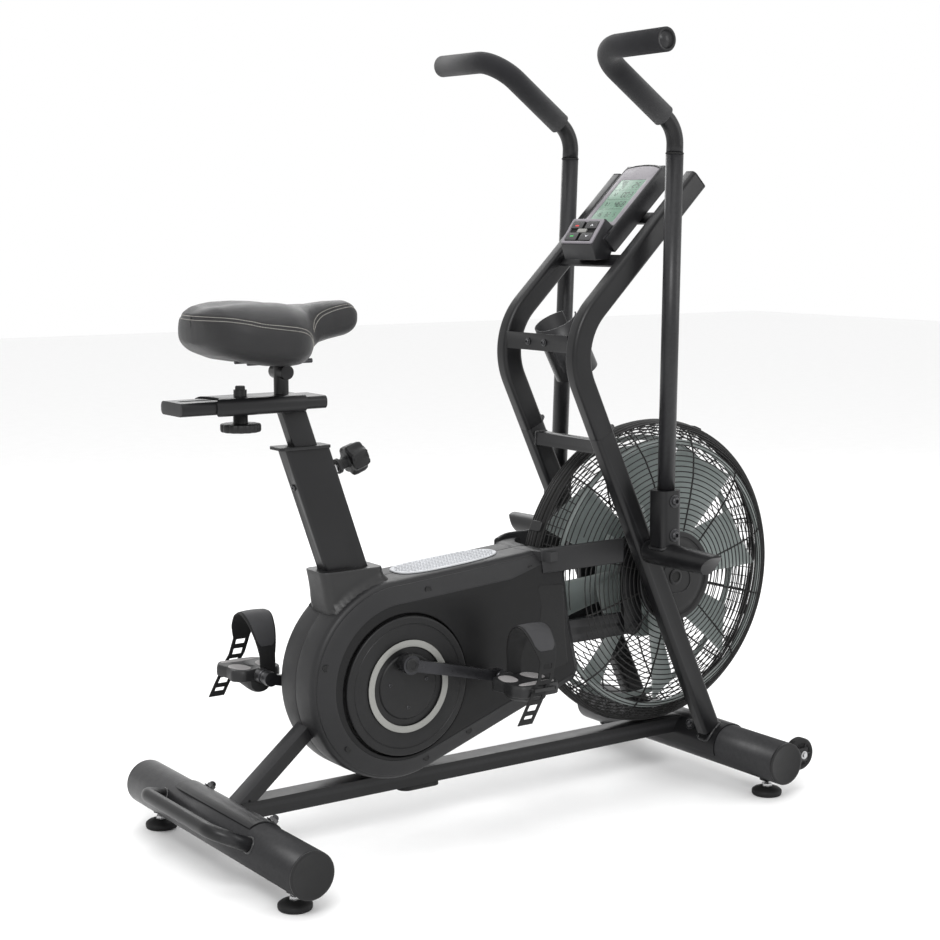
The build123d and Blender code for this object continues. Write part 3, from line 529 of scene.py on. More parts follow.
for side, label in ((-1, "right"), (1, "left")):
    parts = []
    radii = [92 + 9.9 * i for i in range(17)] + [257, 264.5, 271, 276.5, 281.5, 285.8, 289.4]
    for r in radii:
        y = guard_y(r)
        n = 150
        ring = [(FX + r * math.cos(2 * math.pi * i / n), FZ + r * math.sin(2 * math.pi * i / n)) for i in range(n)]
        ok = [guard_free(a, b, y) for a, b in ring]
        wire = 0.00115 if r < 260 else 0.00135
        runs = arcs(ok, n)
        if runs is None:
            parts.append(sweep_data([P(a, side * y, b) for a, b in ring], circle(wire, 6), closed=True, up=(0, 1, 0)))
        else:
            for run in runs:
                parts.append(sweep_data([P(ring[i][0], side * y, ring[i][1]) for i in run], circle(wire, 6), up=(0, 1, 0)))
    # rim hoops
    for r, y, wr in ((291.2, 12.0, 0.0026), (292.0, 3.6, 0.0033), (289.5, 20.0, 0.0022)):
        n = 180
        ring = [(FX + r * math.cos(2 * math.pi * i / n), FZ + r * math.sin(2 * math.pi * i / n)) for i in range(n)]
        parts.append(sweep_data([P(a, side * y, b) for a, b in ring], circle(wr, 8), closed=True, up=(0, 1, 0)))
    # spokes lie on the inside of the rings
    for k in range(12):
        a = math.radians(15 + 30 * k)
        for da in (-0.0, ):
            pts = []
            for r in np.linspace(88, 291, 40):
                x, z, y = FX + r * math.cos(a + da), FZ + r * math.sin(a + da), guard_y(r) - 2.9
                pts.append((x, y, z))
            cur = []
            for x, y, z in pts:
                if guard_free(x, z, y):
                    cur.append(P(x, side * y, z))
                else:
                    if len(cur) > 3:
                        parts.append(sweep_data(cur, circle(0.0017, 7), up=(0, 1, 0)))
                    cur = []
            if len(cur) > 3:
                parts.append(sweep_data(cur, circle(0.0017, 7), up=(0, 1, 0)))
    # short return wires across the rim between the spokes
    for k in range(96):
        a = 2 * math.pi * (k + 0.5) / 96
        pts = []
        for r in (262, 270, 277, 283, 288.5, 291):
            x, z, y = FX + r * math.cos(a), FZ + r * math.sin(a), guard_y(r) - 2.4
            if guard_free(x, z, y):
                pts.append(P(x, side * y, z))
        if len(pts) > 3:
            parts.append(sweep_data(pts, circle(0.0009, 5), up=(0, 1, 0)))
    v, f = join(parts)
    add("wire_guard_" + label, v, f, "frame", "wire", replaces=("guard_" + label,), merge=0)
# rim clips joining the two halves
parts = []
for k in range(8):
    a = math.radians(22.5 + 45 * k)
    x, z = FX + 291.0 * math.cos(a), FZ + 291.0 * math.sin(a)
    if not guard_free(x, z, 10):
        continue
    rad = Vector((math.cos(a), 0, math.sin(a)))
    tan = Vector((-math.sin(a), 0, math.cos(a)))
    c = P(x, 0, z) - rad * 0.0014
    v, f = prism_data(ccw(rrect(0.020, 0.030, 0.004)), lambda u, w, h: c + tan * u + Vector((0, 1, 0)) * w + rad * h, [(-0.004, 0.0008), (-0.0032, 0), (0.0052, 0), (0.0062, 0.001)])
    parts.append((v, f))
    parts.append(bolt(c + rad * 0.0062 - rad * 0.004, rad, 0.0032, 0.002, "socket", False))
v, f = join(parts)
add("guard_clips", v, f, "frame", "cap", merge=0)

# ------------------------------------------------------------------ fan wheel
parts = []
for k in range(8):
    a = math.radians(45 * k + 10)
    rad, tan = Vector((math.cos(a), 0, math.sin(a))), Vector((-math.sin(a), 0, math.cos(a)))
    # wide sheet blade, pitched and slightly cupped
    rows, cols = 18, 12
    vv, ff = [], []
    for layer in (0.0006, -0.0006):
        for i in range(rows):
            r = 54 + (250 - 54) * i / (rows - 1)
            half = np.interp(r, (54, 90, 170, 250), (22, 34, 46, 46))
            for j in range(cols):
                s = j / (cols - 1) * 2 - 1
                y = s * half * 0.62 + 5 * (1 - s * s) + layer * 1000
                t = s * half * float(np.interp(r, (54, 90, 170, 250), (0.85, 0.94, 0.90, 1.12)))
                vv.append(P(FX, 0, FZ) + rad * (r / 1000) + tan * (t / 1000) + Vector((0, y / 1000, 0)))
    m = rows * cols
    for i in range(rows - 1):
        for j in range(cols - 1):
            q = (i * cols + j, i * cols + j + 1, (i + 1) * cols + j + 1, (i + 1) * cols + j)
            ff.append(q)
            ff.append(tuple(x + m for x in q[::-1]))
    rim = [i * cols for i in range(rows)] + [(rows - 1) * cols + j for j in range(1, cols)] + [i * cols + cols - 1 for i in range(rows - 2, -1, -1)] + [j for j in range(cols - 2, 0, -1)]
    for a1, b1 in zip(rim, rim[1:] + rim[:1]):
        ff.append((a1, b1, b1 + m, a1 + m))
    parts.append((vv, ff))
v, f = join(parts)
add("fan_blades", v, f, "fan_wheel", "fan", replaces=("fan",), merge=0)
parts = []
for y0 in (-44.0, 38.0):
    ring = lathe_data([(0.252, y0 / 1000), (0.2605, y0 / 1000), (0.2610, y0 / 1000 + 0.001), (0.2610, y0 / 1000 + 0.005), (0.2605, y0 / 1000 + 0.006), (0.252, y0 / 1000 + 0.006), (0.2515, y0 / 1000 + 0.003), (0.252, y0 / 1000)], P(FX, 0, FZ), (0, 1, 0), 120)
    parts.append(ring)
# back plate between the hub and the blades
parts.append(lathe_data([(0.0085, -0.034), (0.050, -0.034), (0.057, -0.030), (0.060, -0.024), (0.100, -0.004), (0.130, -0.0015), (0.130, 0.0015), (0.100, 0.000), (0.060, -0.010), (0.060, 0.024), (0.057, 0.030), (0.050, 0.034), (0.0085, 0.034), (0.0085, -0.034)], P(FX, 0, FZ), (0, 1, 0), 96))
v, f = join(parts)
add("fan_rims", v, f, "fan_wheel", "fan", merge=0)
parts = []
for k in range(16):
    a = math.radians(22.5 * k)
    c = P(FX + 78 * math.cos(a), 0, FZ + 78 * math.sin(a))
    parts.append(bolt(c + Vector((0, -0.0125, 0)), (0, -1, 0), 0.003, 0.002, "socket", False))
v, f = join(parts)
add("fan_rivets", v, f, "fan_wheel", "zinc", merge=0)

# ------------------------------------------------------------------ hub covers of the guard
for side, label in ((-1, "right"), (1, "left")):
    c = P(FX, side * 76.0, FZ)
    ax = (0, side, 0)
    prof = [(0.0, 0.0), (0.0868, 0.0), (0.0870, 0.0010), (0.0870, 0.0036), (0.0862, 0.0050), (0.0845, 0.0058), (0.0790, 0.0060), (0.0775, 0.0052), (0.0765, 0.0032), (0.0740, 0.0028), (0.0720, 0.0034), (0.0705, 0.0044), (0.0600, 0.0052), (0.0, 0.0053)]
    v, f = lathe_data(prof, c, ax, 96)
    parts = [(v, f)]
    rad0 = Vector((1, 0, 0))
    up0 = Vector((0, 0, 1))
    # raised rounded triangle outline
    tri = [(0.064 * math.cos(math.radians(90 + 120 * i)), 0.064 * math.sin(math.radians(90 + 120 * i))) for i in range(3)]
    out = ccw(round2(tri, 0.024, 10))
    path = [c + rad0 * a + up0 * b + Vector((0, side * 0.0054, 0)) for a, b in out]
    parts.append(sweep_data(path, circle(0.0012, 8), closed=True, up=(0, 1, 0)))
    for i in range(3):
        a = math.radians(30 + 120 * i)
        parts.append(bolt(c + rad0 * (0.061 * math.cos(a)) + up0 * (0.061 * math.sin(a)) + Vector((0, side * 0.0046, 0)), ax, 0.0035, 0.0012, "socket", False))
    parts.append(lathe_data([(0.0098, 0.0052), (0.0150, 0.0052), (0.0150, 0.0070), (0.0138, 0.0078), (0.0106, 0.0080), (0.0098, 0.0072), (0.0098, 0.0052)], c, ax, 40))
    parts.append(lathe_data([(0, 0), (0.016, 0), (0.016, -0.0322), (0, -0.0322)], c, ax, 32))
    v, f = join(parts)
    add("hub_cover_" + label, v, f, "frame", "cap", replaces=("hub_covers",) if side < 0 else (), merge=0)
    v, f = lathe_data([(0, 0.0050), (0.0099, 0.0050), (0.0099, 0.0058), (0, 0.0058)], c, ax, 32)
    add("hub_bore_" + label, v, f, "frame", "dark", merge=0)


# ------------------------------------------------------------------ seat cushion
def catmull(pts, step):
    pts = [np.array(p, float) for p in pts]
    ext = [2 * pts[0] - pts[1]] + pts + [2 * pts[-1] - pts[-2]]
    out = []
    for i in range(1, len(ext) - 2):
        p0, p1, p2, p3 = ext[i - 1:i + 3]
        k = max(2, int(np.linalg.norm(p2 - p1) / step))
        for j in range(k):
            t = j / k
            out.append(0.5 * (2 * p1 + (p2 - p0) * t + (2 * p0 - 5 * p1 + 4 * p2 - p3) * t * t + (3 * p1 - p0 - 3 * p2 + p3) * t ** 3))
    out.append(pts[-1])
    return out


PLAN = [(-42, 0.6), (-41, 24), (-37, 50), (-28, 76), (-13, 98), (8, 114), (36, 122.5), (66, 123.5), (92, 119.5), (115, 106), (132, 88), (144, 71), (156, 57), (172, 48), (194, 43), (218, 40), (238, 35.5), (251, 29), (260, 19), (263.6, 8), (264.4, 0.6)]
stations = catmull(PLAN, 3.6)


def smooth(a, b, x):
    t = min(1, max(0, (x - a) / (b - a)))
    return t * t * (3 - 2 * t)


def seat_top(x, y):
    base = float(np.interp(x, (-42, -16, 20, 55, 100, 140, 170, 205, 240, 256, 265), (934, 941, 944, 945, 943.5, 939.5, 939.5, 943, 944, 939, 931)))
    lobes = 1 - smooth(80, 150, x)
    rise = 4.5 * math.exp(-((abs(y) - 60) / 36) ** 2) * lobes * smooth(-42, 20, x)
    dip = -6.5 * math.exp(-(y / 24) ** 2) * lobes * smooth(-60, 20, x)
    return base + rise + dip


def seat_wide(x):
    return float(np.interp(x, (-42, 0, 50, 110, 140, 158, 185, 230, 265), (900, 893, 886, 880, 881, 890, 905, 913, 915)))


def seat_base(x, y):
    b = float(np.interp(x, (-42, -16, 20, 60, 100, 122, 140, 158, 175, 200, 235, 252, 265), (876, 861, 848, 841, 838.5, 839, 845, 858, 872.5, 879, 885, 891, 903)))
    hollow = math.exp(-(y / 40) ** 4) * (1 - smooth(150, 185, x))
    return b + hollow * max(0, 857 - b)


def seat_point(x, w, phi):
    c, s = math.cos(phi), math.sin(phi)
    y = w * math.copysign(abs(c) ** 0.80, c)
    end = 1.0
    if x < -14:
        end = math.sqrt(max(0, 1 - ((-14 - x) / 28.4) ** 2))
    if x > 238:
        end = min(end, math.sqrt(max(0, 1 - ((x - 238) / 27.2) ** 2)))
    zs = seat_wide(x)
    low = 0.72 if x < 100 else 0.32
    if s >= 0:
        z = zs + (seat_top(x, y) - zs) * s ** 0.86 * (low + (1 - low) * end)
    else:
        z = zs - (zs - seat_base(x, y)) * (-s) ** 0.66 * (low + (1 - low) * end)
    return np.array((x, y, z))


SEC = 72
rows = []
for x, w in stations:
    rows.append([seat_point(x, max(0.3, w), 2 * math.pi * (j + 0.5) / SEC) for j in range(SEC)])


def seam_line(targets, side):
    """points on the surface where it crosses the wanted height, station by station"""
    pts = []
    xs = [t[0] for t in targets]
    zz = [t[1] for t in targets]
    for x, w in stations:
        if not xs[0] <= x <= xs[-1] or w < 1.0:
            continue
        zt = min(float(np.interp(x, xs, zz)), float(seat_point(x, w, math.pi / 2)[2]) - 3.5)
        best, prev = None, None
        for j in range(121):
            phi = math.radians(-84 + 172 * j / 120)
            q = seat_point(x, w, phi)
            if prev is not None and (prev[2] - zt) * (q[2] - zt) <= 0:
                t = (zt - prev[2]) / (q[2] - prev[2] + 1e-9)
                best = prev + (q - prev) * t
                break
            prev = q
        if best is None:
            best = prev
        if side < 0:
            best = best * np.array((1, -1, 1))
        pts.append(best)
    # even spacing and a light smoothing
    for _ in range(10):
        pts = [pts[0]] + [(a + 2 * b + c) / 4 for a, b, c in zip(pts, pts[1:], pts[2:])] + [pts[-1]]
    return pts


LOBE_SEAM = ((-42, 922), (-24, 922), (0, 919), (30, 912), (70, 907), (100, 903), (118, 897.5), (134, 888), (146, 876), (156, 864), (160, 860))
NOSE_SEAM = ((150, 893), (154, 904), (160, 913), (170, 921), (190, 928), (215, 933.5), (240, 936), (256, 934), (264.4, 928))
seams = []
lobe_l, lobe_r = seam_line(LOBE_SEAM, 1), seam_line(LOBE_SEAM, -1)
seams.append(lobe_l[::-1] + lobe_r)
nose_l, nose_r = seam_line(NOSE_SEAM, 1), seam_line(NOSE_SEAM, -1)
seams.append(nose_l + nose_r[::-1])


def even(pts, step):
    pts = [np.array(p, float) for p in pts]
    d = [0.0]
    for a, b in zip(pts, pts[1:]):
        d.append(d[-1] + float(np.linalg.norm(b - a)))
    n = max(2, int(d[-1] / step))
    s = np.linspace(0, d[-1], n + 1)
    arr = np.array(pts)
    return [np.array([np.interp(t, d, arr[:, k]) for k in range(3)]) for t in s]


seam_pts = np.array([p for s in seams for p in even(s, 1.2)])
verts, faces = [], []
allp = np.array([p for row in rows for p in row])
nr = len(rows)
grid = allp.reshape(nr, SEC, 3)
du = np.roll(grid, -1, 1) - np.roll(grid, 1, 1)
dv = np.gradient(grid, axis=0)
nrm = np.cross(du, dv)
nrm /= np.linalg.norm(nrm, axis=2, keepdims=True) + 1e-9
centre = np.array((90, 0, 895.0))
flip = np.sign(((grid - centre) * nrm).sum(2).mean())
nrm *= flip
from mathutils import noise as mnoise
disp = np.zeros((nr, SEC))
for i in range(nr):
    d2 = ((grid[i][:, None, :] - seam_pts[None]) ** 2).sum(2).min(1)
    d = np.sqrt(d2)
    groove = -1.5 * np.exp(-(d / 2.0) ** 2) + 0.55 * np.exp(-((d - 6.0) / 3.2) ** 2)
    for j in range(SEC):
        q = grid[i, j]
        wr = mnoise.noise(Vector((q[0] * 0.022, q[1] * 0.022, q[2] * 0.03 + 3.1)))
        pk = mnoise.noise(Vector((q[0] * 0.11, q[1] * 0.11, q[2] * 0.05))) * math.exp(-(d[j] / 9) ** 2)
        disp[i, j] = groove[j] + 0.25 * wr + 0.4 * pk
# a fold valley on each side where the lobe meets the nose
fold = np.exp(-((grid[:, :, 0] - 160) / 9) ** 2) * np.clip((930 - grid[:, :, 2]) / 30, 0, 1)
disp -= 1.6 * fold
grid2 = grid + nrm * disp[:, :, None]
grid2[:, :, 2] = np.clip(grid2[:, :, 2], 838.3, 949.6)
for i in range(nr):
    for j in range(SEC):
        verts.append(P(*grid2[i, j]))
for i in range(nr - 1):
    for j in range(SEC):
        k = (j + 1) % SEC
        faces.append((i * SEC + j, i * SEC + k, (i + 1) * SEC + k, (i + 1) * SEC + j))
faces.append(tuple(range(SEC))[::-1])
faces.append(tuple((nr - 1) * SEC + j for j in range(SEC)))
seat = add("seat_pad", verts, faces, "seat_slider", "leather", sharp=80, replaces=("seat_cushion",), merge=0, subs=1)

# stitches: two rows either side of the seam
tree_pts = grid2.reshape(-1, 3)
tree_n = nrm.reshape(-1, 3)
from mathutils import kdtree
kd = kdtree.KDTree(len(tree_pts))
for i, q in enumerate(tree_pts):
    kd.insert(Vector(q), i)
kd.balance()


def stitch_parts(line, offset, pitch=4.4, length=3.1, r=0.33):
    pts = even(line, pitch / 2)
    parts = []
    for i in range(1, len(pts) - 1, 2):
        a, b = pts[i - 1], pts[i + 1]
        t = (b - a) / (np.linalg.norm(b - a) + 1e-9)
        _, idx, _ = kd.find(Vector(pts[i]))
        n = tree_n[idx]
        side = np.cross(t, n)
        side /= np.linalg.norm(side) + 1e-9
        c0 = pts[i] + side * offset
        near = kd.find_n(Vector(c0), 4)
        wsum = sum(1 / (x[2] + 0.3) for x in near)
        on = sum(np.array(tree_pts[x[1]]) / (x[2] + 0.3) for x in near) / wsum
        nn = sum(tree_n[x[1]] / (x[2] + 0.3) for x in near)
        nn /= np.linalg.norm(nn)
        c = c0 + nn * float((on - c0) @ nn)
        e = t * length / 2
        path = [c - e * 1.05 - nn * 0.5, c - e * 0.8 + nn * 0.12, c + nn * 0.32, c + e * 0.8 + nn * 0.12, c + e * 1.05 - nn * 0.5]
        parts.append(sweep_data([P(*q) for q in path], circle(r / 1000, 5)))
    return parts


parts = []
for line in seams:
    for off in (-3.1, 3.1):
        parts += stitch_parts(line, off)
v, f = join(parts)
add("seat_stitching", v, f, "seat_slider", "thread", merge=0)


# ------------------------------------------------------------------ chain covers
CRX, CRZ = 321.4, 278.2


def arc2(cx, cz, r, a0, a1, n):
    return [(cx + r * math.cos(math.radians(a0 + (a1 - a0) * i / n)), cz + r * math.sin(math.radians(a0 + (a1 - a0) * i / n))) for i in range(n + 1)]


def cover_outline():
    # rear circle centre (318, 285) radius 177, from the top tangent round the back to the lower tangent
    rear = arc2(318, 285, 177, 90, 289.2, 46)
    front = round2([(376.2, 117.8), (702, 231.2), (712, 254), (690, 350), (678, 440), (668, 478), (613, 484), (318, 462)], [0, 14, 14, 60, 40, 16, 40, 0], 7)
    pts = rear + [p for p in front if math.hypot(p[0] - rear[-1][0], p[1] - rear[-1][1]) > 4 and math.hypot(p[0] - rear[0][0], p[1] - rear[0][1]) > 4]
    return ccw(resample(pts, 5.0))


OUTLINE = cover_outline()
K = len(OUTLINE)
GA = [math.atan2(z - CRZ, x - CRX) for x, z in OUTLINE]


OL = np.array(OUTLINE)
OB = np.roll(OL, -1, 0)


def edge_distance(x, z):
    e = OB - OL
    d = np.array((x, z)) - OL
    t = np.clip((d * e).sum(1) / (e * e).sum(1), 0, 1)
    return float(np.sqrt(((d - e * t[:, None]) ** 2).sum(1)).min())


def front_share(x, z):
    return smooth(600, 668, x)


def drawn_in(depth, narrow=0.5):
    """the outline drawn towards the crank until each point lies this far inside the edge"""
    out = []
    for x, z in OUTLINE:
        want = depth * (1 - narrow * front_share(x, z))
        dx, dz = CRX - x, CRZ - z
        lo, hi = 0.0, 0.72
        top = math.hypot(dx, dz)
        hi = max(0.02, 1 - 131.0 / top)
        if edge_distance(x + dx * hi, z + dz * hi) < want:
            out.append((x + dx * hi, z + dz * hi))
            continue
        step, t = 0.004, 0.0
        while edge_distance(x + dx * t, z + dz * t) < want:
            t += step
        a, b = max(0, t - step), t
        for _ in range(8):
            m = (a + b) / 2
            if edge_distance(x + dx * m, z + dz * m) < want:
                a = m
            else:
                b = m
        out.append((x + dx * b, z + dz * b))
    return out


def loop3(pts, y):
    return [P(x, y, z) for x, z in pts]


def hole_loop(r):
    return [(CRX + r * math.cos(a), CRZ + r * math.sin(a)) for a in GA]


def lerp_loop(a, b, t):
    return [(p[0] + (q[0] - p[0]) * t, p[1] + (q[1] - p[1]) * t) for p, q in zip(a, b)]


def loops_data(loops, wrap=False):
    verts, faces = [], []
    k = len(loops[0])
    for lp in loops:
        verts += lp
    m = len(loops)
    for i in range(m if wrap else m - 1):
        a, b = i * k, ((i + 1) % m) * k
        for j in range(k):
            jj = (j + 1) % k
            faces.append((a + j, a + jj, b + jj, b + j))
    return verts, faces


for side, label in ((-1, "right"), (1, "left")):
    # outer panel with the bevelled border and the crank opening
    if side < 0:
        BORDER = [(y, drawn_in(d)) for y, d in ((57.6, 9.0), (59.6, 8.2), (60.6, 8.6), (61.2, 9.6), (64.5, 17.5), (68.2, 27.0), (71.2, 34.6), (71.9, 36.2), (72.0, 38.0))]
    face = BORDER[-1][1]
    loops = [loop3(b, side * y) for y, b in BORDER]
    if side < 0:
        BACK = drawn_in(37.6)
        FACE0, FACE1 = drawn_in(38.3), drawn_in(39.0)
    loops.append(loop3(BACK, side * 70.2))
    v, f = loops_data(loops, wrap=True)
    # the band takes the lighter cover plastic: painted light on the lit bevel
    add("painted_lit_cover_band_" + label, v, f, "frame", "painted_lit_cover_band", sharp=24, merge=0)
    face = FACE1
    loops = [loop3(FACE0, side * 70.2), loop3(FACE0, side * 71.5), loop3(FACE1, side * 71.85)]
    circ = hole_loop(129.4)
    for t in (0.25, 0.5, 0.75, 0.94):
        loops.append(loop3(lerp_loop(face, circ, t), side * 71.9))
    loops.append(loop3(circ, side * 71.9))
    for r, y in ((128.2, 71.6), (127.0, 70.8), (126.2, 69.6), (125.7, 68.0), (125.5, 60.0), (125.9, 57.6)):
        loops.append(loop3(hole_loop(r), side * y))
    v, f = loops_data(loops, wrap=True)
    add("cover_panel_" + label, v, f, "frame", "cover", sharp=30, replaces=("cover_" + label,), merge=0)
    # wrap-round wall, open where the guard enters
    walls = []
    layers = [(0.25, 1.0), (1.1, 0.15), (1.9, 0.0), (20, 0.0), (44, 0.3), (51, 1.6), (54.5, 3.6), (56.6, 6.2), (57.6, 8.6), (59.6, 9.6)]
    if side < 0:
        WALL_OUT = {d: drawn_in(d, 0.0 if d == 0 else 0.5) for y, d in layers}
        WALL_IN = {d: drawn_in(d + 3.2, 0.3) for y, d in layers}
    idx = [i for i in range(K) if math.hypot(OUTLINE[i][0] - FX, OUTLINE[i][1] - FZ) > 301.5]
    start = next(i for i in range(K) if i in set(idx) and (i - 1) % K not in set(idx))
    run, i = [], start
    sidx = set(idx)
    while i % K in sidx and len(run) < K:
        run.append(i % K)
        i += 1
    outer = [[WALL_OUT[d][j] for j in run] for y, d in layers]
    inner = [[WALL_IN[d][j] for j in run] for y, d in layers]
    verts, faces = [], []
    m = len(run)
    rows3 = [[P(x, side * y, z) for x, z in o] for (y, d), o in zip(layers, outer)] + [[P(x, side * y, z) for x, z in o] for (y, d), o in zip(layers[::-1], inner[::-1])]
    for rr in rows3:
        verts += rr
    nl = len(rows3)
    for a in range(nl):
        b = (a + 1) % nl
        for j in range(m - 1):
            faces.append((a * m + j, a * m + j + 1, b * m + j + 1, b * m + j))
    faces.append(tuple(a * m for a in range(nl))[::-1])
    faces.append(tuple(a * m + m - 1 for a in range(nl)))
    # the wall takes the lighter cover plastic: painted light, as on the band
    add("cover_wall_" + label, verts, faces, "frame", "painted_lit_cover_band", sharp=30, merge=0)
    # arm reaching forward beside the guard
    path = fillet([P(616, side * 69, 466), P(632, side * 79, 468), P(654, side * 88, 470.5), P(789, side * 88, 471)], 0.06, 10)
    secs = ccw(rrect(0.0085, 0.046, 0.0036, 4))
    parts = [sweep_data(path, secs, up=(0, 0, 1))]
    v, f = join(parts)
    # the arm takes the lighter cover plastic: painted light, as on the band
    add("cover_arm_" + label, v, f, "frame", "painted_lit_cover_band", merge=0)
    # deck lip round the guard
    inner_r, zt = 303.5, 478.0
    pts_in, pts_out = [], []
    for k in range(15):
        y = 6 + (84 - 6) * k / 14
        xin = min(FX - math.sqrt(max(0, inner_r ** 2 - (477 - FZ) ** 2)) + 2.0 + (y / 84) ** 3 * 44, 700)
        pts_in.append((xin, y))
    for k in range(15):
        y = 84 - (84 - 6) * k / 14
        xo = 596 + (y / 84) ** 2 * 26
        pts_out.append((xo, y + (4 if y > 70 else 0)))
    outl = ccw([(x, side * y) for x, y in pts_in + pts_out])

    def deck(u, w, h):
        return P(u, w, 460 + (u - 600) * 0.0 + h * 1000)
    v, f = prism_data(outl, deck, [(0.006, 0.8), (0.0065, 0.2), (0.0205, 0), (0.0228, 0.8), (0.0236, 2.2)])
    # the deck takes the lighter cover plastic: painted light on its lit top
    add("cover_deck_" + label, v, f, "frame", "painted_lit_cover_band", sharp=30, merge=0)
    # shallow facet near the front of the panel
    fac = ccw(round2([(603, 424), (613, 384), (606, 318), (634, 262), (676, 268), (668, 330), (664, 420)], 7, 5))
    v, f = prism_data(fac, lambda u, w, h: P(u, side * (71.9 + h), w), [(-0.6, 0), (0.15, 0), (0.55, 1.6), (0.6, 3.0)])
    add("cover_facet_" + label, v, f, "frame", "cover_gloss", sharp=20, merge=0)
    # screw wells
    parts, darks = [], []
    for x, z in ((165, 329.1), (369.9, 441), (590.8, 455), (364, 141), (455.1, 176), (205, 183), (640, 238)):
        yy = 72.0
        d = edge_distance(x, z)
        if d < 38:
            yy = float(np.interp(d, (9.6, 17.5, 27.0, 34.6, 38), (61.2, 64.5, 68.2, 71.2, 72.0)))
        ax = Vector((0, side, 0))
        c = P(x, side * yy, z)
        parts.append(lathe_data([(0.0050, -0.004), (0.0060, -0.004), (0.0063, 0.0002), (0.0060, 0.0012), (0.0056, 0.0013), (0.0052, 0.0006), (0.0050, -0.004)], c, ax, 28))
        darks.append(lathe_data([(0, -0.004), (0.0052, -0.004), (0.0052, 0.0009), (0, 0.0009)], c, ax, 20))
    v, f = join(parts)
    add("cover_screw_wells_" + label, v, f, "frame", "cap", merge=0)
    v, f = join(darks)
    add("cover_screw_holes_" + label, v, f, "frame", "dark", merge=0)

# ------------------------------------------------------------------ crank discs, throw bosses, axle, caps and plate screws
TX, TZ = -9.6, 44.0
parts_disc, parts_cap, parts_screw = [], [], []
for side in (-1, 1):
    ax = (0, side, 0)
    c = P(CRX, 0, CRZ)
    bx, bz = CRX + TX * (-side), CRZ + TZ * (-side)
    prof = [(0.010, 0.0700), (0.1195, 0.0700), (0.1222, 0.0706), (0.1232, 0.0720), (0.1232, 0.0752), (0.1226, 0.0766), (0.1210, 0.0776), (0.1190, 0.0780),
            (0.1105, 0.0780), (0.1098, 0.0772), (0.1088, 0.0771), (0.1080, 0.0778), (0.1000, 0.0781), (0.0850, 0.0779), (0.0836, 0.0774), (0.0694, 0.0774), (0.0688, 0.0756), (0.0585, 0.0756), (0.0575, 0.0774), (0.0560, 0.0786), (0.0535, 0.0788), (0.0, 0.0788)]
    parts_disc.append(lathe_data(prof, c, ax, 128))
    parts_disc.append(lathe_data([(0, 0.0575), (0.018, 0.0575), (0.018, 0.0702), (0, 0.0702)], c, ax, 40))
    # throw boss
    b = P(bx, 0, bz)
    parts_disc.append(lathe_data([(0, 0.057), (0.014, 0.057), (0.014, 0.0775), (0.0152, 0.0790), (0.0152, 0.0830), (0.0142, 0.0845), (0.014, 0.0908), (0, 0.0908)], b, ax, 40))
    parts_cap.append(lathe_data([(0, 0.1048), (0.0125, 0.1048), (0.0125, 0.1062), (0.0114, 0.1072), (0.0070, 0.1076), (0.0066, 0.1068), (0, 0.1068)], b, ax, 32))
    for x, z in ((283.4, 284.8), (357.8, 287.1), (320.0, 241.5)):
        if side > 0:
            x, z = 2 * CRX - x, 2 * CRZ - z
        parts_screw.append(bolt(P(x, side * 78.7, z), ax, 0.0036, 0.0016, "socket", False))
v, f = lathe_data([(0, -0.065), (0.0099, -0.065), (0.0099, 0.065), (0, 0.065)], P(CRX, 0, CRZ), (0, 1, 0), 32)
parts_disc.append((v, f))
# flat black rings inside the cover openings: painted shadow filling the gap behind the crank discs
v2, f2 = join([lathe_data([(0.0630, s * 0.0600), (0.1300, s * 0.0600), (0.1300, s * 0.0615), (0.0630, s * 0.0615), (0.0630, s * 0.0600)], P(CRX, 0, CRZ), (0, 1, 0), 96) for s in (-1, 1)])
add("crank_opening_painted_shadow", v2, f2, "frame", "dark", merge=0)
v, f = join(parts_disc)
add("crank_disc_pair", v, f, "crank", "cap", replaces=("crank_discs",), merge=0)
v, f = join(parts_cap)
add("crank_boss_caps", v, f, "crank", "cap", merge=0)
v, f = join(parts_screw)
add("crank_plate_screws", v, f, "crank", "steel_dark", merge=0)

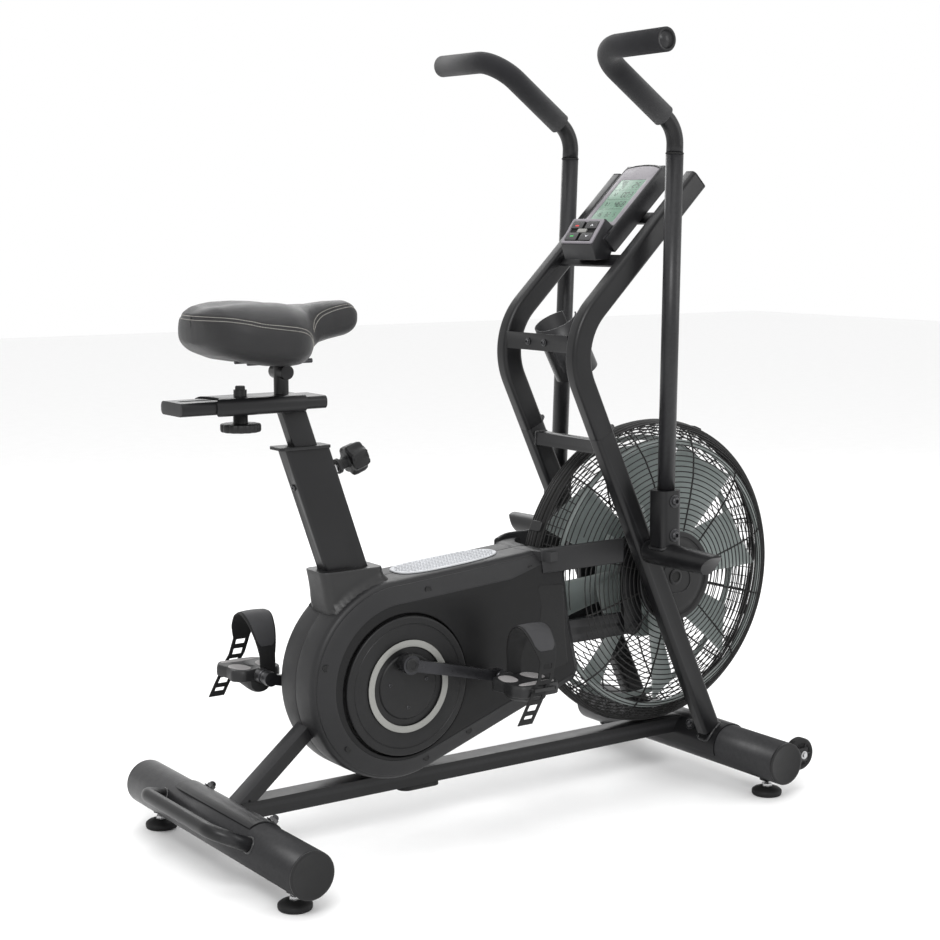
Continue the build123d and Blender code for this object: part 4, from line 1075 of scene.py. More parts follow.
# ------------------------------------------------------------------ pedals and straps
PED = ((-1, "right", CRX + TX + 185.2, CRZ + TZ - 46.2), (1, "left", CRX - TX - 185.2, CRZ - TZ + 46.2))
PLAN_PEDAL = round2([(-49, -31), (-33, -50), (-6, -44), (8, -44), (34, -50), (49, -30), (45, 2), (49, 28), (36, 48.5), (-36, 48.5), (-49, 26), (-43, -2)], [12, 14, 14, 14, 14, 14, 18, 14, 14, 14, 14, 18], 6)
for side, label, px, pz in PED:
    body = label + "_pedal"

    def at(u, w, h, px=px, pz=pz, side=side):
        return P(px + u, side * (180 + w), pz + h)
    outl = ccw(PLAN_PEDAL)
    v, f = prism_data(outl, at, [(-9.0, 5), (-9.8, 2.4), (-8.6, 0.6), (-5, 0), (3.5, 0), (8, 0.9), (10.3, 2.8), (11.0, 5.5)])
    parts = [(v, f)]
    # counterweight housing underneath with a rounded belly
    secs = []
    for t, wv in enumerate(np.linspace(-42, 30, 13)):
        drop = 27 - 9 * smooth(-42, 30, wv)
        k = 1 - 0.12 * (abs(t - 6) / 6) ** 6
        ring = []
        for i in range(20):
            a = math.pi * i / 19
            ring.append(at(4 + 23 * k * math.cos(a), wv - 0, -8.5 - drop * k * math.sin(a) ** 0.7))
        secs.append(ring)
    vv = [q for r in secs for q in r]
    ff = []
    for i in range(12):
        for j in range(19):
            ff.append((i * 20 + j, i * 20 + j + 1, (i + 1) * 20 + j + 1, (i + 1) * 20 + j))
        ff.append((i * 20 + 19, i * 20, (i + 1) * 20, (i + 1) * 20 + 19))
    ff.append(tuple(range(20))[::-1])
    ff.append(tuple(240 + j for j in range(20)))
    parts.append((vv, ff))
    # strap bracket on the outer edge
    for u0, u1, w0, w1, h0, h1 in ((-24, 24, 54.6, 57.4, 1, 6.4), (-24, -20.6, 46, 57.4, 1, 6.4), (20.6, 24, 46, 57.4, 1, 6.4)):
        parts.append(prism_data(ccw(round2([(u0, w0), (u1, w0), (u1, w1), (u0, w1)], 1.0, 3)), at, [(h0, 0.6), (h0 + 0.6, 0), (h1 - 0.6, 0), (h1, 0.6)]))
    v, f = join(parts)
    add("pedal_body_" + label, v, f, body, "pedal", sharp=32, replaces=("pedal_" + label,), merge=0)
    # bearing nose beside the crank arm
    v, f = lathe_data([(0.0062, 0.1076), (0.0105, 0.1076), (0.0118, 0.1090), (0.0118, 0.1125), (0.0108, 0.1135), (0.0108, 0.1160), (0.0128, 0.1175), (0.0135, 0.1320), (0.0062, 0.1320), (0.0062, 0.1076)], P(px, 0, pz), (0, side, 0), 36)
    add("pedal_bearing_" + label, v, f, body, "steel_dark", merge=0)
    # textured inserts
    ins = []
    for cu, cw, ru, rw, ang in ((-25, -16, 15, 24, 12), (26, -14, 15, 25, -12), (0, 33, 37, 9.5, 0), (0, -2, 6.5, 20, 0)):
        base = [(ru * math.copysign(abs(math.cos(t)) ** 0.85, math.cos(t)), rw * math.copysign(abs(math.sin(t)) ** 0.85, math.sin(t))) for t in np.linspace(0, 2 * math.pi, 45)[:-1]]
        ca, sa = math.cos(math.radians(ang)), math.sin(math.radians(ang))
        pts = ccw([(cu + x * ca - y * sa, cw + x * sa + y * ca) for x, y in base])
        ins.append((prism_data(pts, at, [(10.2, 0), (11.3, 0), (11.75, 0.8), (11.8, 1.6)]), cw))
    v, f = join([i[0] for i in ins[:3]])
    add("pedal_inserts_" + label, v, f, body, "insert", sharp=30, merge=0)
    v, f = ins[3][0]
    add("pedal_spine_" + label, v, f, body, "pedal", sharp=30, merge=0)
    # raised studs over the inserts
    studs = []
    for cu, cw, ru, rw, ang in ((-25, -16, 12.5, 21, 12), (26, -14, 12.5, 22, -12), (0, 33, 34, 7, 0)):
        ca, sa = math.cos(math.radians(ang)), math.sin(math.radians(ang))
        for a in np.arange(-ru, ru + 0.1, 3.6):
            for b2 in np.arange(-rw, rw + 0.1, 3.6):
                if (a / ru) ** 2 + (b2 / rw) ** 2 > 1:
                    continue
                c = at(cu + a * ca - b2 * sa, cw + a * sa + b2 * ca, 11.8)
                studs.append(lathe_data([(0.0009, -0.0002), (0.0008, 0.0004), (0, 0.00055)], c, (0, 0, 1), 7))
    v, f = join(studs)
    add("pedal_studs_" + label, v, f, body, "insert", merge=0)

    # strap: arch over the foot, then the ladder tail through the bracket
    line = []
    for t in np.linspace(math.radians(4), math.radians(176), 60):
        w, h = -50.6 * math.cos(t) * (1 + 0.03 * math.sin(t)), 11.2 + 94.5 * math.sin(t) ** 0.92
        line.append((12.0, w, h))
    line = [(12.0, -50.4, 2.0)] + line
    tail = [(4.0, 50.9, 20), (-1.5, 51.0, 12), (-7, 51.1, 4), (-13, 51.2, -8), (-20, 51.4, -20), (-29, 51.3, -36), (-39, 50.6, -54)]
    line = line[:-6] + tail
    line = [np.array(p, float) for p in line]
    pts = even(line, 2.2)
    total = len(pts) - 1
    arc_len = [0.0]
    for a, b in zip(pts, pts[1:]):
        arc_len.append(arc_len[-1] + float(np.linalg.norm(b - a)))
    cols = [-1, -0.8, -0.56, -0.28, 0, 0.28, 0.56, 0.8, 1]
    verts, faces = [], []
    ladder0 = arc_len[-1] - 122
    for i, p in enumerate(pts):
        s = arc_len[i]
        f0 = s / arc_len[-1]
        width = float(np.interp(f0, (0, 0.10, 0.24, 0.34, 0.46, 0.56, 0.64, 1), (15, 15.5, 24, 28.5, 28.5, 24, 16.5, 15.5)))
        tilt = 0.0
        crown = 2.2 * smooth(0.12, 0.3, f0) * (1 - smooth(0.5, 0.62, f0))
        t = pts[min(i + 1, total)] - pts[max(i - 1, 0)]
        t /= np.linalg.norm(t) + 1e-9
        nn = np.array((0, -t[2], t[1]))
        nn /= np.linalg.norm(nn) + 1e-9
        if nn[1] * p[1] + nn[2] * (p[2] - 11) < 0:
            nn = -nn
        for c in cols:
            q = p + np.array((1 + c * width, 0, 0)) - nn * crown * (abs(c) ** 2.2)
            verts.append(at(*q))
    m = len(cols)
    for i in range(total):
        s = (arc_len[i] + arc_len[i + 1]) / 2 - ladder0
        hole = 0 <= s < 114 and (s % 19.0) > 9.0
        for j in range(m - 1):
            if hole and 2 <= j <= 5 and abs(s) < 112:
                continue
            faces.append((i * m + j, i * m + j + 1, (i + 1) * m + j + 1, (i + 1) * m + j))
    strap = add("pedal_strap_" + label, verts, faces, body, "rubber", sharp=60, replaces=("strap_" + label,), merge=0)
    md = strap.modifiers.new("thickness", "SOLIDIFY")
    md.thickness = 0.0024
    md.offset = 0
    md.use_even_offset = True
    md = strap.modifiers.new("edge", "BEVEL")
    md.width = 0.0005
    md.segments = 2
    md.limit_method = "ANGLE"
    md.angle_limit = math.radians(50)
    # padded panel raised a little over the top of the arch
    sel = [i for i in range(total + 1) if 0.15 < arc_len[i] / arc_len[-1] < 0.585]
    verts, faces = [], []
    cols2 = [-0.86, -0.8, -0.6, -0.3, 0, 0.3, 0.6, 0.8, 0.86]
    for n_i, i in enumerate(sel):
        p = pts[i]
        f0 = arc_len[i] / arc_len[-1]
        endt = min(1, n_i / 5, (len(sel) - 1 - n_i) / 5)
        width = float(np.interp(f0, (0, 0.10, 0.24, 0.34, 0.46, 0.56, 0.64, 1), (15, 15.5, 24, 28.5, 28.5, 24, 16.5, 15.5))) * (0.62 + 0.38 * math.sqrt(max(0, endt)))
        crown = 2.2 * smooth(0.12, 0.3, f0) * (1 - smooth(0.5, 0.62, f0))
        t = pts[min(i + 1, total)] - pts[max(i - 1, 0)]
        t /= np.linalg.norm(t) + 1e-9
        nn = np.array((0, -t[2], t[1]))
        nn /= np.linalg.norm(nn) + 1e-9
        if nn[1] * p[1] + nn[2] * (p[2] - 11) < 0:
            nn = -nn
        for c in cols2:
            q = p + np.array((1 + c * width, 0, 0)) + nn * (1.75 - crown * (abs(c) ** 2.2))
            verts.append(at(*q))
    for i in range(len(sel) - 1):
        for j in range(m - 1):
            faces.append((i * m + j, i * m + j + 1, (i + 1) * m + j + 1, (i + 1) * m + j))
    sp = add("strap_pad_" + label, verts, faces, body, "rubber_grey", sharp=60, merge=0)
    md = sp.modifiers.new("thickness", "SOLIDIFY")
    md.thickness = 0.0012
    md.offset = 0
    md = sp.modifiers.new("edge", "BEVEL")
    md.width = 0.0005
    md.segments = 3
    md.limit_method = "ANGLE"
    md.angle_limit = math.radians(50)

# ------------------------------------------------------------------ knobs
PS, PC = math.sin(math.radians(19.36)), math.cos(math.radians(19.36))


def post(u, w, h):
    """seat tube frame: u forward across the tube, w sideways, h up the tube, in mm"""
    return P(274.4 + u * PC - h * PS, w, 380 + u * PS + h * PC)


ax = Vector((PC, 0, PS))
side_v, up_v = Vector((0, 1, 0)), Vector((-PS, 0, PC))
c0 = post(0, 0, 280)
lobed = []
for i in range(120):
    a = 2 * math.pi * i / 120
    lobed.append(((0.0255 + 0.0022 * math.cos(7 * a)) * math.cos(a), (0.0255 + 0.0022 * math.cos(7 * a)) * math.sin(a)))
lobed = ccw(lobed)
v, f = prism_data(lobed, lambda u, w, h: c0 + ax * h + side_v * u + up_v * w, [(0.0705, 0.007), (0.0712, 0.0035), (0.0740, 0.0008), (0.079, 0), (0.096, 0.0004), (0.1020, 0.0024), (0.1048, 0.0058), (0.1053, 0.0080)])
parts = [(v, f), lathe_data([(0, 0.1048), (0.0185, 0.1050), (0.0178, 0.1057), (0.012, 0.1059), (0, 0.1059)], c0, ax, 48),
         lathe_data([(0.0063, 0.0475), (0.0125, 0.0475), (0.0135, 0.0485), (0.0135, 0.0540), (0.0125, 0.0550), (0.0098, 0.0565), (0.0098, 0.0680), (0.0140, 0.0720), (0.0063, 0.0725), (0.0063, 0.0475)], c0, ax, 40)]
v, f = join(parts)
add("height_pull_knob_head", v, f, "height_pull_knob", "cap", replaces=("height_knob",), sharp=34, merge=0)
v, f = lathe_data([(0, 0.0225), (0.0059, 0.0225), (0.0059, 0.074), (0, 0.074)], c0, ax, 32)
add("height_pull_pin", v, f, "height_pull_knob", "zinc", merge=0)
# sleeve nut welded to the tube
v, f = join([lathe_data([(0.0063, 0.0398), (0.0115, 0.0398), (0.0115, 0.0435), (0.0105, 0.0445), (0.0063, 0.0446), (0.0063, 0.0398)], c0, ax, 6)])
add("height_pin_nut", v, f, "frame", "zinc", merge=0)

CK = P(45, 0, 0)
ribs = []
for i in range(168):
    a = 2 * math.pi * i / 168
    r = 0.0340 - 0.0016 * (0.5 + 0.5 * math.cos(14 * a)) ** 3
    ribs.append((r * math.cos(a), r * math.sin(a)))
v, f = prism_data(ccw(ribs), lambda u, w, h: CK + Vector((u, w, h)), [(0.7320, 0.0065), (0.7323, 0.003), (0.7335, 0.0009), (0.7360, 0), (0.7430, 0), (0.7452, 0.0008), (0.7460, 0.0030)])
parts = [(v, f), lathe_data([(0, 0.7455), (0.0300, 0.7455), (0.0290, 0.7448), (0.0130, 0.7462), (0.0122, 0.7475), (0.0120, 0.7605), (0.0112, 0.7618), (0, 0.7618)], CK, (0, 0, 1), 48),
         lathe_data([(0, 0.7320), (0.020, 0.7320), (0.019, 0.7312), (0, 0.7310)], CK, (0, 0, 1), 40)]
v, f = join(parts)
add("slider_knob_head", v, f, "slider_knob", "cap", replaces=("carriage_knob",), sharp=34, merge=0)
v, f = lathe_data([(0, 0.7600), (0.0054, 0.7600), (0.0054, 0.7870), (0, 0.7870)], CK, (0, 0, 1), 24)
add("slider_knob_stem", v, f, "slider_knob", "zinc", merge=0)


# ------------------------------------------------------------------ moulded boot round the seat tube
def cover_height(x):
    if x >= 318:
        return 462 + (x - 318) * 0.0746
    return 285 + math.sqrt(max(0.0, 177 ** 2 - (318 - x) ** 2))


base = ccw(resample([(a * 1000, b * 1000) for a, b in rrect(0.124, 0.070, 0.016, 8)], 3.2))
nb = len(base)
cxb = 240.0
loops = []
for z, grow in ((485.0, -2.6), (485.0, -1.8), (484.4, -0.6), (482.6, 0.0), (476, 0.2), (470, 0.3), (464, 0.4), (458, 0.5), (452, 0.7), (446, 0.9), (440, 1.2), (434, 1.5), (428, 1.8), (422, 2.0), (416, 2.0), (410, 2.0), (404, 2.0), (398, 2.0)):
    ring = []
    for i, (u, w) in enumerate(base):
        a, b = base[i - 1], base[(i + 1) % nb]
        tx, ty = b[0] - a[0], b[1] - a[1]
        ln = math.hypot(tx, ty) + 1e-9
        nx, ny = ty / ln, -tx / ln
        if nx * u + ny * w < 0:
            nx, ny = -nx, -ny
        x = cxb + u + (6.0 * (485 - z) / 55 if u > 0 else 0)
        y = w
        if u < 0:
            x += (-u / 62) * float(np.interp(z, (398, 404, 410, 416, 422, 430, 450, 470, 485), (27, 22, 18, 15, 13, 11, 8, 4, 0)))
        sgap = min(1.0, max(0.0, (z - cover_height(x)) / 15))
        e = grow + 11 * (1 - sgap) ** 2 * (1.0 if nx > -0.4 else 0.15)
        ring.append(P(x + nx * e, y + ny * e, z))
    loops.append(ring)
for z in (398, 440, 485.0):
    ring = []
    xc = 274.4 - (z - 380) * 0.3514
    for u, w in base:
        a = math.atan2(w, u)
        c, q = math.cos(a), math.sin(a)
        t = min(42.8 / (abs(c) + 1e-9), 17.4 / (abs(q) + 1e-9))
        ring.append(P(xc + c * t, q * t, z))
    loops.append(ring)
v, f = loops_data(loops, wrap=True)
add("seat_tube_collar", v, f, "frame", "clear_grey", sharp=50, replaces=("seat_tube_boot",), merge=0)

# ------------------------------------------------------------------ carried-over CAD nodes: finish and softened edges
FINISH = {
    "rear_stabilizer": "paint", "transport_handle": "paint", "front_stabilizer": "paint", "stabilizer_caps": "cap", "wheel_brackets": "paint",
    "main_frame": "paint", "beam_pad": "rubber", "upper_mast": "paint", "mast_caps": "cap",
    "seat_tube_boot": "clear_grey", "fan_axle": "zinc", "crank_rings": "ring", "crank_arm_right": "steel_dark", "crank_arm_left": "steel_dark",
    "arm_lower_right": "paint", "arm_lower_left": "paint", "arm_post_right": "paint", "arm_post_left": "paint",
    "handlebar_right": "paint", "handlebar_left": "paint", "grip_right": "foam", "grip_left": "foam", "link_right": "paint", "link_left": "paint",
    "seat_tube_bushing": "cap", "seat_post": "paint", "seat_rail": "paint", "seat_carriage": "paint", "seat_clamp": "steel_dark",
    "console_housing": "shell", "keypad_bezel": "bezel", "lcd_screen": "lcd", "key_top_left": "keys", "key_top_right": "keys",
    "key_low_left": "keys", "key_low_right": "keys", "key_centre": "ring",
}
EDGE = {"main_frame": 0.0012, "upper_mast": 0.0008, "mast_caps": 0.0012, "seat_tube_boot": 0.006, "crank_rings": 0.0006, "crank_arm_right": 0.0024, "crank_arm_left": 0.0024,
        "seat_rail": 0.002, "seat_carriage": 0.0016, "seat_clamp": 0.0012, "seat_tube_bushing": 0.0016, "arm_lower_right": 0.0012, "arm_lower_left": 0.0012,
        "link_right": 0.0012, "link_left": 0.0012, "wheel_brackets": 0.0008, "stabilizer_caps": 0.0012, "console_housing": 0.003, "keypad_bezel": 0.0005,
        "lcd_screen": 0.0004, "key_top_left": 0.0006, "key_top_right": 0.0006, "key_low_left": 0.0006, "key_low_right": 0.0006, "key_centre": 0.0006,
        "beam_pad": 0.002, "seat_post": 0.0006}
for name, o in N.items():
    if o.hide_render:
        continue
    o.data.materials.clear()
    o.data.materials.append(M[FINISH.get(name, "paint")])
    o.data.polygons.foreach_set("use_smooth", [True] * len(o.data.polygons))
    md = o.modifiers.new("weld", "WELD")
    md.merge_threshold = 0.00002
    if name in EDGE:
        md = o.modifiers.new("edge", "BEVEL")
        md.width = EDGE[name]
        md.segments = 3
        md.limit_method = "ANGLE"
        md.angle_limit = math.radians(40)
        md.use_clamp_overlap = True
    try:
        o.data.set_sharp_from_angle(angle=math.radians(34))
    except Exception:
        pass

# ------------------------------------------------------------------ step pad
ca, sa = math.cos(math.radians(4.27)), math.sin(math.radians(4.27))


def deckpt(u, w, h):
    return P(449 + u * ca - h * sa, w, 472.15 + u * sa + h * ca)


slotline = [(107.5 * math.copysign(abs(math.cos(t)) ** 0.72, math.cos(t)), (41.5 - 3.5 * math.cos(t)) * math.copysign(abs(math.sin(t)) ** 0.72, math.sin(t))) for t in np.linspace(0, 2 * math.pi, 97)[:-1]]
v, f = prism_data(ccw(slotline), deckpt, [(0.0, 0), (1.6, 0), (2.4, 0.5), (2.6, 1.6), (2.2, 3.0), (2.2, 3.6)])
add("step_pad_plate", v, f, "frame", "pad", sharp=30, replaces=("step_pad",), merge=0)
dashes = []
for i in range(-17, 18):
    for j in range(-7, 8):
        u, w = i * 6.4 + (3.2 if j % 2 else 0), j * 5.4
        if (abs(u) / 103) ** 2.6 + (abs(w) / 37) ** 2.6 > 1:
            continue
        d = 1 if (i + j) % 2 else -1
        e = (2.2, 1.2 * d)
        pts = [deckpt(u - e[0], w - e[1], 2.0), deckpt(u - e[0] * .8, w - e[1] * .8, 2.75), deckpt(u, w, 2.95), deckpt(u + e[0] * .8, w + e[1] * .8, 2.75), deckpt(u + e[0], w + e[1], 2.0)]
        dashes.append(sweep_data(pts, [(a * 1.0, b * 0.5) for a, b in circle(0.0010, 6)], up=(0, 0, 1)))
v, f = join(dashes)
add("step_pad_treads", v, f, "frame", "pad", merge=0)

# ------------------------------------------------------------------ feet and transport wheels
for name, cx, cy in (("rear_right", 0, -242), ("rear_left", 0, 242), ("front_right", 1024.7, -240), ("front_left", 1024.7, 240)):
    c = P(cx, cy, 0)
    prof = [(0, 0.0), (0.0258, 0.0), (0.0270, 0.0006), (0.0278, 0.002), (0.0282, 0.004), (0.0282, 0.0075), (0.0278, 0.0090), (0.0262, 0.0105), (0.0235, 0.0125), (0.0165, 0.0148), (0.0140, 0.0160), (0, 0.0160)]
    parts = [lathe_data(prof, c, (0, 0, 1), 56)]
    v, f = join(parts)
    add("foot_pad_" + name, v, f, name + "_foot", "rubber", replaces=("foot_" + name,), merge=0)
    v, f = join([lathe_data([(0, 0.0155), (0.0098, 0.0155), (0.0098, 0.0215), (0.0088, 0.0225), (0, 0.0225)], c, (0, 0, 1), 6),
                 lathe_data([(0, 0.022)] + [(0.0049 - 0.0005 * (k % 2), 0.022 + 0.0009 * k) for k in range(40)] + [(0, 0.0575)], c, (0, 0, 1), 20)])
    add("foot_stud_" + name, v, f, name + "_foot", "zinc", merge=0)
for name, y in (("right", -247), ("left", 247)):
    c = P(1099.7, y, 68)
    prof = [(0.0041, -0.0100), (0.0095, -0.0100), (0.0100, -0.0092), (0.0105, -0.0075), (0.0200, -0.0070), (0.0215, -0.0090), (0.0230, -0.0098), (0.0262, -0.0099), (0.0285, -0.0092), (0.0302, -0.0072)]
    for k in range(-2, 3):
        prof += [(0.0310, k * 0.0026 - 0.0009), (0.0310, k * 0.0026 + 0.0007), (0.0303, k * 0.0026 + 0.0009), (0.0303, k * 0.0026 + 0.0015)]
    prof += [(0.0302, 0.0072), (0.0285, 0.0092), (0.0262, 0.0099), (0.0230, 0.0098), (0.0215, 0.0090), (0.0200, 0.0070), (0.0105, 0.0075), (0.0100, 0.0092), (0.0095, 0.0100), (0.0041, 0.0100), (0.0041, -0.0100)]
    v, f = lathe_data(prof, c, (0, 1, 0), 64)
    add("wheel_tyre_" + name, v, f, name + "_wheel", "rubber", replaces=("wheel_" + name,), merge=0)
    spokes = []
    for k in range(6):
        a = math.radians(60 * k)
        d = Vector((math.cos(a), 0, math.sin(a)))
        for s in (-1, 1):
            spokes.append(sweep_data([c + d * 0.0098 + Vector((0, s * 0.0078, 0)), c + d * 0.0220 + Vector((0, s * 0.0078, 0))], circle(0.0016, 6)))
    v, f = join(spokes)
    add("wheel_ribs_" + name, v, f, name + "_wheel", "cap", merge=0)
    parts = []
    for s in (-1, 1):
        parts.append(bolt(c + Vector((0, s * 0.0146, 0)), (0, s, 0), 0.0052, 0.0032, "hex"))
    v, f = join(parts)
    add("wheel_axle_nuts_" + name, v, f, "frame", "zinc", merge=0)

# ------------------------------------------------------------------ bolts, welds, end plates
parts = []
for cx, sx, by in ((0.0, 1, 112), (1024.7, -1, 60)):
    for s in (1, -1):
        a = math.radians(47)
        d = Vector((sx * math.sin(a), 0, math.cos(a)))
        c = P(cx, s * by, 70) + d * (0.0432)
        parts.append(bolt(c, d, 0.0078, 0.0062, "dome"))
v, f = join(parts)
add("saddle_nuts", v, f, "frame", "steel_dark", replaces=("stabilizer_bolts",), merge=0)
PH = {-1: math.radians(-0.65), 1: math.radians(0.65)}


def turned(side, x, y, z):
    """a point drawn in the middle of the arm's swing, turned to where that arm stands"""
    a = PH[side]
    dx, dz = x - 827, z - 470
    # turning by a about +Y takes x towards -z
    return P(827 + dx * math.cos(a) + dz * math.sin(a), side * y, 470 - dx * math.sin(a) + dz * math.cos(a))


for side, label in ((-1, "right"), (1, "left")):
    parts = []
    for z in (571, 508):
        c = turned(side, 833.0, 184.2, z)
        parts.append(bolt(c, (0, side, 0), 0.0078, 0.0050, "socket"))
    v, f = join(parts)
    add("socket_bolts_" + label, v, f, label + "_arm", "steel_dark", merge=0)
    parts = []
    # weld round the socket foot, on the peg
    ring = []
    for u, w in rrect(0.0470, 0.0450, 0.0112, 5):
        ring.append(turned(side, 829 + u * 1000, 162 + w * 1000, 486 + 1.0 - 4.0 * (abs(u) / 0.0235) ** 2))
    path = []
    for i, q in enumerate(ring):
        path.append(q)
    dense = []
    for a, b in zip(path, path[1:] + path[:1]):
        n = max(1, int((b - a).length / 0.0016))
        dense += [a.lerp(b, j / n) for j in range(n)]
    parts.append(sweep_data(dense, circle(0.0024, 7), closed=True, up=(0, 0, 1)))
    v, f = join(parts)
    add("socket_weld_" + label, v, f, label + "_arm", "weld", merge=0)
    # rod bearing collar of the pivot beside the leg
    v, f = lathe_data([(0.0122, 0.0905 + 0.0302), (0.0205, 0.0905 + 0.0302), (0.0215, 0.0905 + 0.0312), (0.0215, 0.1255), (0.0122, 0.1255), (0.0122, 0.1207)], turned(side, 827, 0, 470), (0, side, 0), 40)
    add("pivot_collar_" + label, v, f, label + "_arm", "cap", merge=0)
    # end trim on the foam
    e = turned(side, 670, 341.0, 1374.0056)
    v, f = join([lathe_data([(0, -0.003), (0.0196, -0.003), (0.0202, -0.0020), (0.0202, 0.0000), (0.0192, 0.0014), (0.0172, 0.0018), (0.0160, 0.0012), (0.0150, 0.0004), (0, 0.0004)], e, (0, side, 0), 48)])
    add("grip_end_cap_" + label, v, f, label + "_arm", "cap", merge=0)
    # joint ring between post and handlebar
    j = turned(side, 830.5 + math.tan(math.radians(1.5)) * 636.6, 162, 1196.6)
    v, f = lathe_data([(0.0153, -0.0010), (0.0163, -0.0012), (0.0166, 0.0), (0.0163, 0.0012), (0.0153, 0.0010), (0.0153, -0.0010)], j, (math.sin(math.radians(1.5)), 0, math.cos(math.radians(1.5))), 40)
    add("post_joint_ring_" + label, v, f, label + "_arm", "dark", merge=0)


def bead(points, r=0.0026, closed=True):
    pts = [Vector(p) for p in points]
    dense = []
    seq = zip(pts, pts[1:] + pts[:1]) if closed else zip(pts, pts[1:])
    for a, b in seq:
        n = max(1, int((b - a).length / 0.0015))
        dense += [a.lerp(b, j / n) for j in range(n)]
    if not closed:
        dense.append(pts[-1])
    vv, ff = sweep_data(dense, circle(r, 8), closed=closed, up=(0.17, 0.31, 0.93))
    # ripple like a run of overlapping puddles
    out = []
    for i, q in enumerate(vv):
        ring_i = i // 8
        c = dense[ring_i]
        k = 0.86 + 0.26 * abs(math.sin(ring_i * 0.62)) + 0.06 * rng.random()
        out.append(c + (Vector(q) - c) * k)
    return out, ff


LEG = math.atan(0.4645)
LU = Vector((-math.sin(LEG), 0, math.cos(LEG)))
LN = Vector((math.cos(LEG), 0, math.sin(LEG)))


def legx(z):
    return 719.0 + (700.0 - z) * 0.4645


welds = []
for s in (1, -1):
    # cross tube to the legs
    c = P(legx(668), s * 90.3, 668)
    welds.append(bead([c + Vector((u, 0, w)) for u, w in rrect(0.0265, 0.0245, 0.002, 3)]))
    # leg foot on the front saddle
    foot = []
    for u, w in rrect(0.043, 0.031, 0.008, 5):
        # line along the leg that meets the saddle radius
        base = P(legx(120), s * 105, 120) + LN * u + Vector((0, w, 0))
        t = 0.0
        cc = P(1024.7, 0, 70)
        q = base.copy()
        for _ in range(400):
            q = q - LU * 0.0005
            if math.hypot(q.x - cc.x, q.z - cc.z) < 0.0434 or q.z < 0.05:
                break
        foot.append(q)
    welds.append(bead(foot, 0.0030))
    # transport handle ends on the tube
    hp = []
    d = Vector((-0.055, -s * 0.039, 0.024)).normalized()
    c = P(-30, s * 161, 84)
    u1 = d.cross(Vector((0, 0, 1))).normalized()
    u2 = d.cross(u1)
    for k in range(28):
        a = 2 * math.pi * k / 28
        q = c + (u1 * math.cos(a) + u2 * math.sin(a)) * 0.0122 + d * 0.03
        for _ in range(200):
            q = q - d * 0.0004
            if math.hypot(q.x - P(0, 0, 0).x, q.z - 0.070) < 0.0405:
                break
        hp.append(q)
    welds.append(bead(hp, 0.0022))
# seat tube and strut: the ring round the tube and the strut points are computed but not used; only the straight bead
# below is added
ring = []
for u, w in rrect(0.0815, 0.0355, 0.005, 4):
    ring.append(post(u * 1000, w * 1000, 111.5))
strut = []
for w in np.linspace(-18.5, 18.5, 12):
    strut.append(P(44, w, 98.5 + 12))
welds.append(bead([P(18 + 22, s2, 108.5) for s2 in np.linspace(-19, 19, 14)], 0.0028, closed=False))
v, f = join(welds)
add("weld_beads", v, f, "frame", "weld", sharp=60, merge=0)
# bolts of the bolted mast joint
parts = []
for s in (1, -1):
    c = P(legx(694) + 21.4 * math.cos(LEG), s * 105, 694 + 21.4 * math.sin(LEG))
    parts.append(bolt(c, LN, 0.0062, 0.0050, "dome"))
# plate bolts
for s in (1, -1):
    parts.append(bolt(P(652.6, s * 24, 858), (-1, 0, 0), 0.0045, 0.0032, "socket"))
parts.append(bolt(post(-40.6, 0, 280), Vector((-PC, 0, -PS)), 0.0050, 0.0026, "socket", False))
v, f = join(parts)
add("frame_bolts", v, f, "frame", "steel_dark", merge=0)
v, f = join([bolt(P(45, 0, 802.1), (0, 0, 1), 0.0092, 0.0062, "hex", False)])
add("slider_nut", v, f, "seat_slider", "cap", merge=0)
# dished end plates of the two stabilisers
for nm, cx, half in (("rear", 0, 299.2), ("front", 1024.7, 291.2)):
    for s, lb in ((-1, "right"), (1, "left")):
        c = P(cx, s * (half - 4), 70)
        prof = [(0, 0), (0.0392, 0), (0.0398, 0.0008), (0.0398, 0.0026), (0.0386, 0.0036), (0.0360, 0.0040), (0.0340, 0.0036), (0.0325, 0.0030), (0, 0.0029)]
        v, f = lathe_data(prof, c, (0, s, 0), 72)
        add(f"stabilizer_end_{nm}_{lb}", v, f, "frame", "cap", replaces=("stabilizer_caps",), merge=0)


# ------------------------------------------------------------------ console
CD = Vector((0.7194, 0, 0.6946))     # up the face
CNV = Vector((-0.6946, 0, 0.7194))   # out of the face
CO = P(844.5, 0, 1118)
SY = Vector((0, 1, 0))


def con(u, w, h):
    """u up the console face, w to the rider's left, h out of the face, in mm"""
    return CO + CD * (u / 1000) + SY * (w / 1000) + CNV * (h / 1000)


# raised surround with the arched top
outer = ccw(round2([(-91, -53.4), (84, -53.4), (92, -30), (94.5, 0), (92, 30), (84, 53.4), (-91, 53.4)], [6, 8, 60, 120, 60, 8, 6], 6))
v, f = prism_data(outer, lambda u, w, h: con(u, w, h), [(-32, 7), (-29, 2.5), (-24, 0.6), (-20, 0), (-3.0, 0), (-0.4, 0.7), (0.6, 2.2), (0.8, 3.4), (0.2, 4.4), (-0.2, 5.4)])
parts = [(v, f)]
v, f = join(parts)
add("console_body", v, f, "frame", "shell", sharp=30, merge=0)
bez = ccw(round2([(-70, -49), (80, -49), (86.5, -28), (88.5, 0), (86.5, 28), (80, 49), (-70, 49)], [4, 6, 60, 120, 60, 6, 4], 6))
screen = ccw(rrect(0.112, 0.078, 0.002, 6))
screen = [(a * 1000 - 5, b * 1000) for a, b in screen]
kb = len(bez)
ang = [math.atan2(w, u + 5) for u, w in bez]


def on_rect(a, hu, hw):
    c, s = math.cos(a), math.sin(a)
    t = min(hu / (abs(c) + 1e-9), hw / (abs(s) + 1e-9))
    return (-5 + c * t, s * t)


